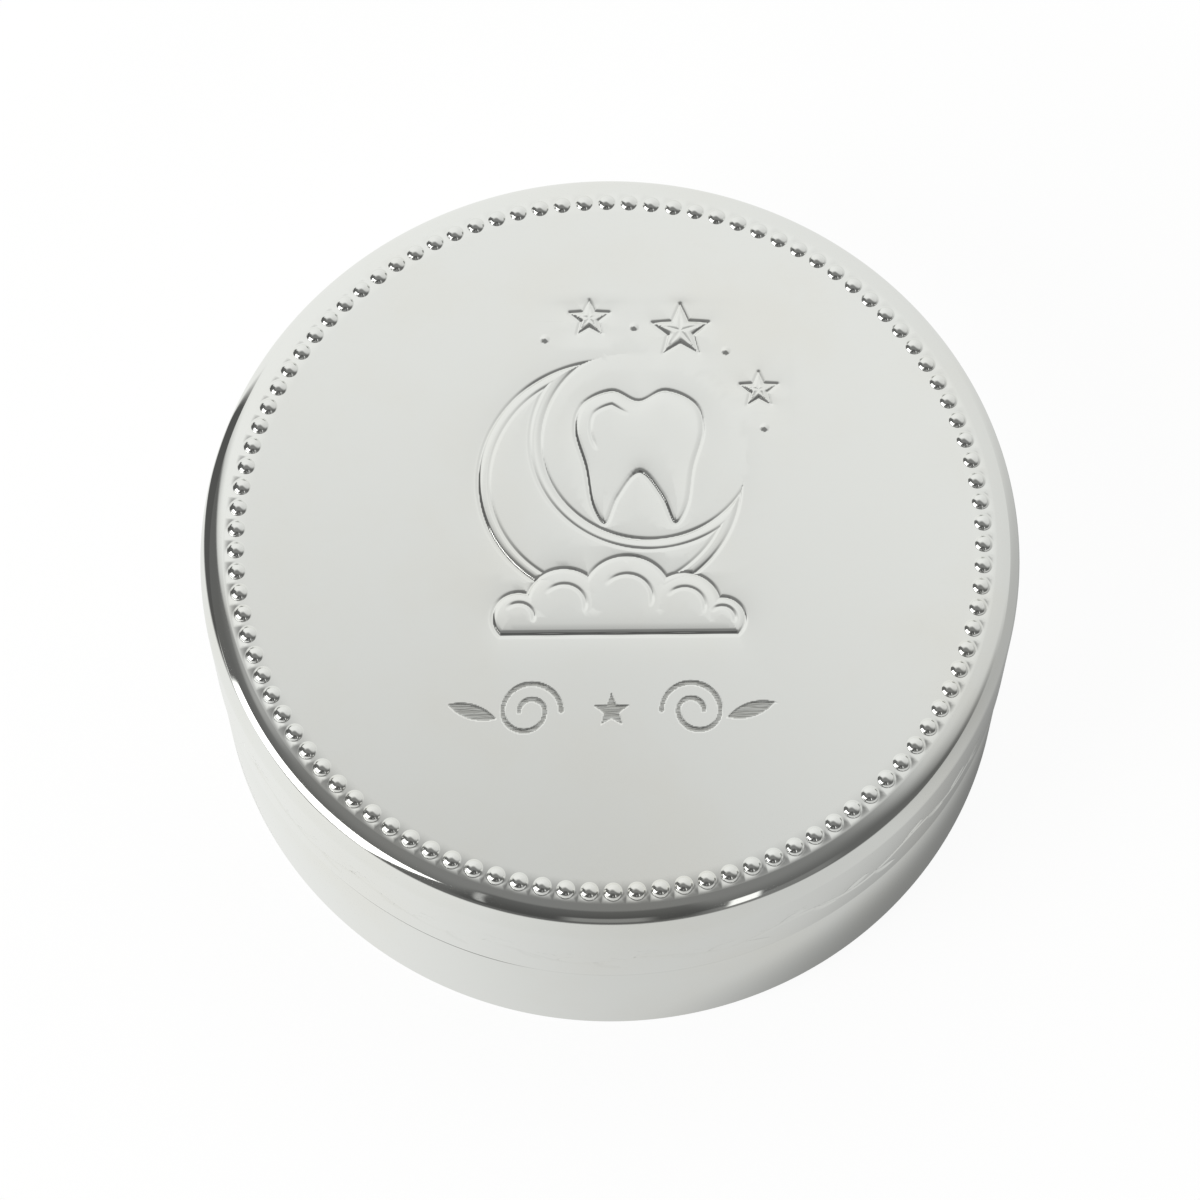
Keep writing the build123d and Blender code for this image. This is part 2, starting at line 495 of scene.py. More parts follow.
@dataclass(frozen=True)
class Felt(Finish):
    """Pressed felt, matted from short fibres."""

    wool: Colour = (0.035, 0.042, 0.06)
    lint: Colour = (0.10, 0.11, 0.14)
    fibre_length: float = 1.6 * MM
    fibre_width: float = 0.09 * MM
    fibre_turns: tuple[float, ...] = (0.3, 1.4, 2.5)
    lint_edge: Span = (0.56, 0.78)
    depth: float = 0.08 * MM

    def fibres(self, recipe: Recipe, turn: float) -> Value:
        """Fibres that lie one way.

        Args:
            recipe: The tree to add to.
            turn: The way that they lie, in radians.

        Returns:
            Their height from 0 to 1.
        """
        across = self.fibre_length / self.fibre_width
        place = recipe.stretched(recipe.place(), (1.0, across, across), turn)
        return recipe.noise(place, self.fibre_length, rough=0.6)

    def sockets(self, recipe: Recipe) -> Sockets:
        """Matted cloth.

        Args:
            recipe: The tree to add to.

        Returns:
            What goes into the shader's sockets.
        """
        mat, *more = (self.fibres(recipe, turn) for turn in self.fibre_turns)
        for layer in more:
            mat = mat.at_least(layer)
        lint = mat.smooth(*self.lint_edge)
        return {
            "Base Color": recipe.mix(lint, self.wool, self.lint),
            "Roughness": 0.9 + lint * 0.08,
            "Specular IOR Level": 0.15,
            "Sheen Weight": 0.4,
            "Sheen Roughness": 0.5,
            "Normal": recipe.bump(mat, self.depth),
        }


@dataclass(frozen=True)
class Card(Finish):
    """Plain grey-brown card with specks and fibres."""

    board: Colour = (0.36, 0.30, 0.22)
    speck: Colour = (0.20, 0.16, 0.11)
    fibre_size: float = 0.5 * MM
    speck_edge: Span = (0.62, 0.72)
    speck_squeeze: float = 3.0
    speck_turn: float = 0.7
    depth: float = 0.02 * MM

    def sockets(self, recipe: Recipe) -> Sockets:
        """Dull card.

        Args:
            recipe: The tree to add to.

        Returns:
            What goes into the shader's sockets.
        """
        place = recipe.place()
        pulp = recipe.noise(place, self.fibre_size, detail=4.0, rough=0.65)
        place = recipe.stretched(place, (1.0, self.speck_squeeze, 1.0), self.speck_turn)
        specks = recipe.noise(place, self.fibre_size, detail=1.0)
        return {
            "Base Color": recipe.mix(specks.smooth(*self.speck_edge), self.board, self.speck),
            "Roughness": 0.82 + pulp * 0.12,
            "Specular IOR Level": 0.25,
            "Normal": recipe.bump(pulp, self.depth),
        }


@dataclass(frozen=True)
class Wadding(Finish):
    """Pressed off-white wadding, darker between its clumps as painted shade."""

    fluff: Colour = (0.78, 0.76, 0.70)
    # The hollow colour is painted shade in the low places between clumps.
    hollow: Colour = (0.60, 0.58, 0.52)
    clump_size: float = 0.8 * MM
    clump_edge: Span = (0.35, 0.65)
    depth: float = 0.12 * MM

    def sockets(self, recipe: Recipe) -> Sockets:
        """Loose fibre.

        Args:
            recipe: The tree to add to.

        Returns:
            What goes into the shader's sockets.
        """
        clumps = recipe.noise(recipe.place(), self.clump_size, detail=4.0, rough=0.7)
        return {
            "Base Color": recipe.mix(clumps.smooth(*self.clump_edge), self.hollow, self.fluff),
            "Roughness": 0.88 + clumps * 0.1,
            "Specular IOR Level": 0.15,
            "Normal": recipe.bump(clumps, self.depth),
        }


@dataclass
class Blank:
    """Points and faces gathered for one mesh, in millimetres."""

    points: list[np.ndarray] = field(default_factory=list)
    faces: list[tuple[int, ...]] = field(default_factory=list)
    count: int = 0

    def add(self, points: np.ndarray, faces: Sequence[Sequence[int]]) -> None:
        """Add points with the faces between them.

        Args:
            points: Rows of x, y and z.
            faces: Each face's points, counted from the first of these.
        """
        start = self.count
        self.points.append(np.asarray(points, dtype=float))
        self.faces.extend(tuple(int(n) + start for n in face) for face in faces)
        self.count += len(points)

    def add_used(self, points: np.ndarray, faces: Sequence[Sequence[int]]) -> None:
        """Add faces with only the points that they use.

        Args:
            points: Array of rows by columns by x, y and z.
            faces: Each face's points, as places in the array read row by row.
        """
        used = sorted({n for face in faces for n in face})
        place = {n: i for i, n in enumerate(used)}
        self.add(points.reshape(-1, 3)[used], [[place[n] for n in face] for face in faces])

    def add_grid(self, points: np.ndarray, closed: bool) -> None:
        """Add a grid of points with quads between them.

        Args:
            points: Array of rows by columns by x, y and z.
            closed: Whether the last column joins the first.
        """
        rows, columns = points.shape[:2]
        index = np.arange(rows * columns).reshape(rows, columns)
        if closed:
            index = np.hstack([index, index[:, :1]])
        corners = [index[:-1, :-1], index[:-1, 1:], index[1:, 1:], index[1:, :-1]]
        quads = np.stack(corners, -1).reshape(-1, 4)
        self.add(points.reshape(-1, 3), quads.tolist())

    def make(
        self,
        name: str,
        sharp: float | None = None,
        lean: Callable[[np.ndarray], np.ndarray] | None = None,
    ) -> bpy.types.Object:
        """Turn what was gathered into an object.

        Args:
            name: The object's name.
            sharp: Edges that turn by more than this many degrees stay crisp.
            lean: Gives the true normal at each point, or zeros where it isn't known.

        Returns:
            The object, with its points in metres.
        """
        mesh = bpy.data.meshes.new(name)
        points = np.vstack(self.points) * MM
        mesh.from_pydata(points.tolist(), [], self.faces)
        work = bmesh.new()
        work.from_mesh(mesh)
        bmesh.ops.remove_doubles(work, verts=work.verts, dist=0.0005 * MM)
        bmesh.ops.recalc_face_normals(work, faces=work.faces)
        work.to_mesh(mesh)
        work.free()
        mesh.shade_smooth()
        if sharp is not None:
            mesh.set_sharp_from_angle(angle=math.radians(sharp))
        if lean is not None:
            places = np.empty(3 * len(mesh.vertices))
            mesh.vertices.foreach_get("co", places)
            normals = lean(places.reshape(-1, 3) / MM)
            mesh.normals_split_custom_set_from_vertices(normals.tolist())
        piece = bpy.data.objects.new(name, mesh)
        bpy.context.scene.collection.objects.link(piece)
        return piece


def arc(centre: Span, radius: float, start: float, end: float, steps: int) -> list[Span]:
    """Points along an arc of a profile.

    Args:
        centre: Its centre, out from the axis and up.
        radius: Its radius.
        start: Where it starts, in degrees from outward towards up.
        end: Where it ends.
        steps: How many chords it has.

    Returns:
        The points, both ends among them.
    """
    angles = np.radians(np.linspace(start, end, steps + 1))
    return [(centre[0] + radius * math.cos(a), centre[1] + radius * math.sin(a)) for a in angles]


def lathe(profile: Sequence[Span], columns: int) -> np.ndarray:
    """Points of a profile turned about the upright axis.

    Args:
        profile: Points out from the axis and up.
        columns: How many copies of the profile go round.

    Returns:
        Array of rows by columns by x, y and z.
    """
    out = np.array([p[0] for p in profile])[:, None]
    up = np.array([p[1] for p in profile])[:, None]
    angles = np.linspace(0, TURN, columns, endpoint=False)[None, :]
    flat = np.ones_like(angles)
    return np.stack([out * np.cos(angles), out * np.sin(angles), up * flat], -1)


def spare_faces(
    height: np.ndarray, block: int, slack: float, closed: bool
) -> list[tuple[int, ...]]:
    """Faces of a grid: small ones where it bends, and one for each block elsewhere.

    Args:
        height: The grid's height, rows by columns.
        block: How many small squares a block has each way.
        slack: A block bends if its height leaves its corners' plane by more than this.
        closed: Whether the last column joins the first.

    Returns:
        Each face's points, as places in the grid read row by row.
    """
    index = np.arange(height.size).reshape(height.shape)
    if closed:
        height = np.hstack([height, height[:, :1]])
        index = np.hstack([index, index[:, :1]])
    window = (block + 1, block + 1)
    tiles = np.lib.stride_tricks.sliding_window_view(height, window)[::block, ::block]
    names = np.lib.stride_tricks.sliding_window_view(index, window)[::block, ::block]
    share = np.linspace(0, 1, block + 1)
    low = tiles[..., :1, :1] * (1 - share) + tiles[..., :1, -1:] * share
    high = tiles[..., -1:, :1] * (1 - share) + tiles[..., -1:, -1:] * share
    plain = low * (1 - share[:, None]) + high * share[:, None]
    bends = np.abs(tiles - plain).max((-1, -2)) > slack
    small = names[bends]
    corners = [small[:, :-1, :-1], small[:, :-1, 1:], small[:, 1:, 1:], small[:, 1:, :-1]]
    faces = [tuple(face) for face in np.stack(corners, -1).reshape(-1, 4).tolist()]
    split = np.pad(bends, 1)
    if closed:
        split[1:-1, 0], split[1:-1, -1] = bends[:, -1], bends[:, 0]
    for row, column in np.argwhere(~bends):
        tile = names[row, column]
        sides = (
            (tile[0, :-1], split[row, column + 1]),
            (tile[:-1, -1], split[row + 1, column + 2]),
            (tile[-1, :0:-1], split[row + 2, column + 1]),
            (tile[:0:-1, 0], split[row + 1, column]),
        )
        face: list[int] = []
        for side, is_split in sides:
            face.extend(side.tolist() if is_split else side[:1].tolist())
        faces.append(tuple(face))
    return faces


def stitch(fine: np.ndarray, coarse: np.ndarray) -> tuple[np.ndarray, list[tuple[int, ...]]]:
    """Join a ring of points to a ring that has half as many.

    Args:
        fine: The ring with more points.
        coarse: The ring with fewer.

    Returns:
        The points and the faces between them.
    """
    many, few = len(fine), len(coarse)
    faces = []
    for n in range(few):
        after = (n + 1) % few
        faces.append((2 * n, 2 * n + 1, (2 * n + 2) % many, many + after, many + n))
    return np.vstack([fine, coarse]), faces


def soft_step(value: np.ndarray, low: float, high: float) -> np.ndarray:
    """0 below low and 1 above high, eased between."""
    share = np.clip((value - low) / (high - low), 0, 1)
    return share * share * (3 - 2 * share)


def node_box(node: str) -> tuple[np.ndarray, np.ndarray]:
    """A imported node's lowest and highest corner, in millimetres."""
    low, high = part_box(node)
    return np.array(low) / MM, np.array(high) / MM


def turn_piece(name: str, profile: Sequence[Span], columns: int, crisp: float) -> bpy.types.Object:
    """Turn a profile about the upright axis and make it an object.

    Args:
        name: The object's name.
        profile: Points out from the axis and up.
        columns: How many copies of the profile go round.
        crisp: Edges that turn by more than this many degrees stay crisp.

    Returns:
        The object.
    """
    blank = Blank()
    blank.add_grid(lathe(profile, columns), closed=True)
    return blank.make(name, crisp)


def place_piece(
    piece: bpy.types.Object, body: Body, slot: Slot, material: bpy.types.Material, *nodes: str
) -> None:
    """Give a piece its body, material and the nodes that it stands for.

    Args:
        piece: The piece.
        body: The body that it rides on.
        slot: The record's slot; not used.
        material: Its material.
        nodes: The nodes that it replaces.
    """
    piece.data.materials.clear()
    piece.data.materials.append(material)
    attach(piece, body.value)
    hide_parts(*nodes)
    log.info("%s rides %s, %d faces", piece.name, body.value, len(piece.data.polygons))


@dataclass
class LidDesign:
    """Chased relief on the lid's top: a milk tooth in a moon over a cloud, with stars.

    Sizes are in millimetres on the lid's plan, x to the right and y up the design.
    Bearings are in degrees from x towards y.
    """

    centre_y: float = 4.4
    moon_radius: float = 9.6
    hollow_radius: float = 7.9
    hollow: Span = (2.9, 3.2)
    tooth_size: Span = (9.4, 10.6)
    tooth: Span = (2.2, 1.9)
    tooth_steps: int = 8
    tooth_half_shares: tuple[Span, ...] = (
        (0.00, 0.92),
        (0.42, 1.00),
        (0.88, 0.90),
        (1.00, 0.70),
        (0.84, 0.42),
        (0.74, 0.14),
        (0.54, 0.00),
        (0.34, 0.20),
        (0.00, 0.38),
    )
    star_radius: float = 1.9
    star_reach: float = 13.2
    star_points: int = 5
    star_waist_share: float = 0.45
    stars: tuple[Span, ...] = ((96, 0.8), (66, 1.15), (33, 0.75))
    dots: tuple[Span, ...] = ((81, 12.6), (50, 13.6), (112, 12.4), (20, 12.2))
    dot_radius: float = 0.36
    dot_height: float = 0.12
    cloud_base_y: float = -7.7
    cloud_body_y: float = -5.0
    cloud_puff_shares: tuple[tuple[float, float, float], ...] = (
        (-0.69, -0.66, 0.20),
        (-0.35, -0.56, 0.29),
        (0.125, -0.51, 0.34),
        (0.56, -0.58, 0.27),
        (0.84, -0.68, 0.17),
    )
    curl_share: float = 0.56
    curl_start: Span = (-25, 5)
    curl_end: Span = (150, 110)
    curl_edge: Span = (0.1, 0.4)

    lift: float = 0.06
    lift_edge: Span = (-0.1, 0.4)
    crown: float = 0.045
    crown_reach: float = 0.9
    halo: float = 0.03
    halo_reach: float = 1.0
    halo_inside: float = 0.3
    chase_depth: float = 0.1
    chase_width: float = 0.125
    faint_share: float = 0.7
    curl_cut: float = 0.8
    ridge_cut: float = 0.45
    hand_share: float = 0.15
    hand_waves: Span = (1.3, 0.7)
    contour: float = 0.8
    contour_edge: Span = (-0.05, 0.12)
    gleam_inset: float = 1.15
    gleam_start: Span = (100, 118)
    gleam_end: Span = (172, 158)
    gleam_out: Span = (1.2, 2.2)

    flourish_y: float = -13.6
    flourish_line: float = 0.35
    flourish_depth: float = 0.05
    flourish_edge: Span = (-0.04, 0.1)
    scroll_start: float = 3.6
    scroll_radius: float = 2.1
    scroll_turn_shares: tuple[float, ...] = (1.0, 0.72, 0.44)
    flourish_star: float = 1.3
    leaf: Span = (3.6, 1.1)
    leaf_x: float = 10.0
    leaf_tilt: float = 18.0

    def tooth_outline(self) -> np.ndarray:
        """The tooth's outline as a smooth closed line.

        Returns:
            Its points in order, x and y.
        """
        wide, high = self.tooth_size
        half = [(x * wide / 2, (y - 0.5) * high) for x, y in self.tooth_half_shares]
        corners = np.array(half + [(-x, y) for x, y in reversed(half[1:-1])])
        share = np.linspace(0, 1, self.tooth_steps, endpoint=False)[None, :, None]
        a, b, c, d = (np.roll(corners, shift, 0)[:, None, :] for shift in (1, 0, -1, -2))
        curve = b + share * (c - a) / 2 + share**2 * (a - 2.5 * b + 2 * c - d / 2)
        curve = curve + share**3 * (1.5 * (b - c) + (d - a) / 2)
        return curve.reshape(-1, 2) + (self.tooth[0], self.centre_y + self.tooth[1])

    def round_middle(self, bearing: float, reach: float) -> np.ndarray:
        """The place at this bearing and distance from the moon's middle."""
        turn = math.radians(bearing)
        return np.array([reach * math.cos(turn), self.centre_y + reach * math.sin(turn)])

    def star_corners(self, radius: float, x: float, y: float) -> np.ndarray:
        """A pointed star's corners.

        Args:
            radius: From its middle to a point.
            x: Its middle, to the right.
            y: Its middle, up.

        Returns:
            The corners in order, a point first.
        """
        count = np.arange(2 * self.star_points)
        turn = np.pi / 2 + count * np.pi / self.star_points
        reach = np.where(count % 2 == 0, radius, radius * self.star_waist_share)
        return np.stack([x + reach * np.cos(turn), y + reach * np.sin(turn)], -1)

    @staticmethod
    def from_line(x: np.ndarray, y: np.ndarray, start: np.ndarray, end: np.ndarray) -> np.ndarray:
        """How far points lie from a straight line.

        Args:
            x: The points' x.
            y: The points' y.
            start: The line's start.
            end: The line's end.

        Returns:
            Their distances.
        """
        dx, dy = end - start
        share = np.clip(((x - start[0]) * dx + (y - start[1]) * dy) / (dx * dx + dy * dy), 0, 1)
        return np.hypot(x - start[0] - share * dx, y - start[1] - share * dy)

    def inside(self, x: np.ndarray, y: np.ndarray, outline: np.ndarray) -> np.ndarray:
        """How far points lie inside a closed outline, and outside with a minus sign.

        Args:
            x: The points' x.
            y: The points' y.
            outline: The outline's corners.

        Returns:
            Signed distances.
        """
        nearest = np.full(x.shape, np.inf)
        within = np.zeros(x.shape, dtype=bool)
        for start, end in zip(outline, np.roll(outline, -1, 0), strict=True):
            nearest = np.minimum(nearest, self.from_line(x, y, start, end))
            spans = (start[1] > y) != (end[1] > y)
            rise = end[1] - start[1]
            if rise:
                within ^= spans & (x < start[0] + (y - start[1]) / rise * (end[0] - start[0]))
        return np.where(within, nearest, -nearest)

    def moon_inside(self, x: np.ndarray, y: np.ndarray) -> np.ndarray:
        """How far points lie inside the crescent.

        Args:
            x: The points' x.
            y: The points' y.

        Returns:
            Signed distances.
        """
        outer = self.moon_radius - np.hypot(x, y - self.centre_y)
        hollow_y = self.centre_y + self.hollow[1]
        inner = np.hypot(x - self.hollow[0], y - hollow_y) - self.hollow_radius
        return np.minimum(outer, inner)

    def cloud(self, x: np.ndarray, y: np.ndarray) -> tuple[np.ndarray, np.ndarray]:
        """The cloud's extent and the curls chased into its puffs.

        Args:
            x: The points' x.
            y: The points' y.

        Returns:
            How far points lie inside it, and how strongly a curl is cut there.
        """
        within = np.full(x.shape, -np.inf)
        curls = np.zeros(x.shape)
        puffs = np.multiply(self.cloud_puff_shares, self.moon_radius)
        for middle_x, middle_y, radius in puffs:
            away = np.hypot(x - middle_x, y - middle_y)
            within = np.maximum(within, radius - away)
            bearing = np.degrees(np.arctan2(y - middle_y, x - middle_x))
            sweep = soft_step(bearing, *self.curl_start) * soft_step(bearing, *self.curl_end)
            curls = np.maximum(curls, self.line(away - self.curl_share * radius) * sweep)
        body = np.minimum(np.minimum(x - puffs[0, 0], puffs[-1, 0] - x), self.cloud_body_y - y)
        within = np.minimum(np.maximum(within, body), y - self.cloud_base_y)
        return within, curls * soft_step(within, *self.curl_edge)

    def line(self, away: np.ndarray) -> np.ndarray:
        """How strongly a chased line is cut, by the distance from its middle."""
        return np.exp(-((away / self.chase_width) ** 2))

    def star_lines(self, x: np.ndarray, y: np.ndarray) -> tuple[np.ndarray, np.ndarray]:
        """The stars above the moon, each with a ridge from its middle to each point.

        Args:
            x: The points' x.
            y: The points' y.

        Returns:
            How far points lie inside a star, and how strongly a line is cut there.
        """
        within = np.full(x.shape, -np.inf)
        lines = np.zeros(x.shape)
        for bearing, size_share in self.stars:
            middle = self.round_middle(bearing, self.star_reach)
            corners = self.star_corners(self.star_radius * size_share, *middle)
            near = self.inside(x, y, corners)
            within = np.maximum(within, near)
            lines = np.maximum(lines, self.line(near))
            for tip in corners[::2]:
                ridge = self.line(self.from_line(x, y, middle, tip))
                lines = np.maximum(lines, self.ridge_cut * ridge * (near > 0))
        return within, lines

    def gleam(self, x: np.ndarray, y: np.ndarray) -> np.ndarray:
        """Which part of the tooth's inner line is chased, on its upper left.

        Args:
            x: The points' x.
            y: The points' y.

        Returns:
            1 there and 0 elsewhere.
        """
        from_x, from_y = x - self.tooth[0], y - self.centre_y - self.tooth[1]
        side = np.degrees(np.arctan2(from_y, from_x))
        sweep = soft_step(side, *self.gleam_start) * soft_step(side, *self.gleam_end)
        return sweep * soft_step(np.hypot(from_x, from_y), *self.gleam_out)

    def engraved(self, x: np.ndarray, y: np.ndarray) -> np.ndarray:
        """How far points lie inside the engraved flourish: scrolls, leaves and a star.

        Args:
            x: The points' x.
            y: The points' y.

        Returns:
            Signed distances.
        """
        mirrored = np.abs(x)
        up = y - self.flourish_y
        nearest = np.full(x.shape, np.inf)
        start, way = self.scroll_start, 1
        for n, turn_share in enumerate(self.scroll_turn_shares):
            radius = self.scroll_radius * turn_share
            middle = start + way * radius
            side = up if n % 2 == 0 else -up
            on_arc = np.abs(np.hypot(mirrored - middle, up) - radius)
            ends = np.hypot(np.abs(mirrored - middle) - radius, up)
            nearest = np.minimum(nearest, np.where(side >= 0, on_arc, ends))
            start, way = middle + way * radius, -way
        star = self.inside(x, y, self.star_corners(self.flourish_star, 0.0, self.flourish_y))
        tilt = math.radians(self.leaf_tilt)
        along = (mirrored - self.leaf_x) * math.cos(tilt) + up * math.sin(tilt)
        across = up * math.cos(tilt) - (mirrored - self.leaf_x) * math.sin(tilt)
        long, wide = self.leaf
        bow = (long**2 + wide**2) / (4 * wide)
        leaf = bow - np.hypot(along, np.abs(across) + bow - wide / 2)
        return np.maximum(np.maximum(self.flourish_line / 2 - nearest, star), leaf)

    def height(self, x: np.ndarray, y: np.ndarray) -> np.ndarray:
        """The design's height over the flat top.

        Args:
            x: The points' x.
            y: The points' y.

        Returns:
            The height, which fades to nothing away from the design.
        """
        tooth = self.inside(x, y, self.tooth_outline())
        moon = self.moon_inside(x, y)
        cloud, curls = self.cloud(x, y)
        stars, star_lines = self.star_lines(x, y)
        open_moon = soft_step(-np.maximum(tooth, cloud), *self.contour_edge)
        cuts = (
            self.line(moon) * open_moon,
            self.faint_share * self.line(moon - self.contour) * open_moon,
            self.line(tooth),
            self.faint_share * self.line(tooth - self.gleam_inset) * self.gleam(x, y),
            self.line(cloud),
            self.curl_cut * curls,
            star_lines,
        )
        wave_x, wave_y = self.hand_waves
        hand = 1 - self.hand_share + self.hand_share * np.sin(wave_x * x + wave_y * y)
        cut = np.maximum.reduce(cuts) * hand
        whole = np.maximum.reduce((tooth, moon, cloud, stars))
        front = np.where(tooth > 0, tooth, np.minimum(whole, -tooth))
        front = np.where(cloud > 0, cloud, np.minimum(front, -cloud))
        raised = self.lift * soft_step(whole, *self.lift_edge)
        raised = raised + self.crown * (1 - np.exp(-np.maximum(front, 0) / self.crown_reach))
        sunk = np.exp(-np.maximum(-whole, 0) / self.halo_reach)
        sunk = sunk * np.exp(-np.maximum(whole, 0) / self.halo_inside)
        height = raised - self.halo * sunk - self.chase_depth * cut
        for dot in self.dots:
            dot_x, dot_y = self.round_middle(*dot)
            away = np.hypot(x - dot_x, y - dot_y) / self.dot_radius
            height = height + self.dot_height * np.clip(1 - away**2, 0, 1) ** 1.5
        return height - self.flourish_depth * soft_step(self.engraved(x, y), *self.flourish_edge)


@dataclass
class Garland:
    """The leafy line chased round the front of the skirt, in millimetres and degrees."""

    radius: float
    middle: float
    half: float = 2.1
    fade: float = 0.3
    reach: float = 64.0
    taper: float = 4.0
    depth: float = 0.08
    wave: float = 11.0
    rise: float = 0.7
    stem_width: float = 0.12
    leaves: int = 4
    leaf_lean: float = 0.85
    leaf_bend: float = 0.16
    leaf_length: float = 2.1
    leaf_widths: Span = (0.1, 0.16)
    leaf_root: Span = (-0.1, 0.25)
    leaf_tip: Span = (2.2, 1.8)

    def stem(self, along: np.ndarray) -> np.ndarray:
        """Level of the stem at these distances round the skirt."""
        return self.middle + self.rise * np.sin(along * (TURN / self.wave))

    def leaf(self, along: np.ndarray, up: np.ndarray, number: np.ndarray) -> np.ndarray:
        """How strongly a leaf is cut.

        Args:
            along: The points' distance round the skirt from the front.
            up: Their level.
            number: The leaf's number along the stem, for each point.

        Returns:
            1 along its middle and 0 off it.
        """
        root = (number + 0.5) * self.wave / self.leaves
        side = np.where(number % 2 == 0, 1, -1)
        cosine, sine = math.cos(self.leaf_lean), math.sin(self.leaf_lean)
        from_x, from_y = along - root, side * (up - self.stem(root))
        out = from_x * cosine + from_y * sine
        across = from_y * cosine - from_x * sine + self.leaf_bend * out**2
        bulge = np.sin(np.clip(out, 0, self.leaf_length) * np.pi / self.leaf_length)
        least, more = self.leaf_widths
        width = least + more * np.clip(bulge, 0, 1)
        reach = soft_step(out, *self.leaf_root) * soft_step(out, *self.leaf_tip)
        return reach * np.exp(-((across / width) ** 2))

    def cut(self, angle: np.ndarray, up: np.ndarray) -> np.ndarray:
        """How far the skirt is cut.

        Args:
            angle: The points' turn about the axis from x, in radians.
            up: Their level.

        Returns:
            The depth there.
        """
        bearing = np.degrees(np.angle(np.exp(1j * (angle + np.pi / 2))))
        along = np.radians(bearing) * self.radius
        turn = TURN / self.wave
        slope = self.rise * turn * np.cos(along * turn)
        off = (up - self.stem(along)) / np.sqrt(1 + slope**2)
        cut = np.exp(-((off / self.stem_width) ** 2))
        nearest = np.round(along / self.wave * self.leaves - 0.5)
        for shift in (-1, 0, 1):
            cut = np.maximum(cut, self.leaf(along, up, nearest + shift))
        ends = soft_step(np.abs(bearing), self.reach, self.reach - self.taper)
        band = soft_step(np.abs(up - self.middle), self.half, self.half - self.fade)
        return self.depth * cut * ends * band


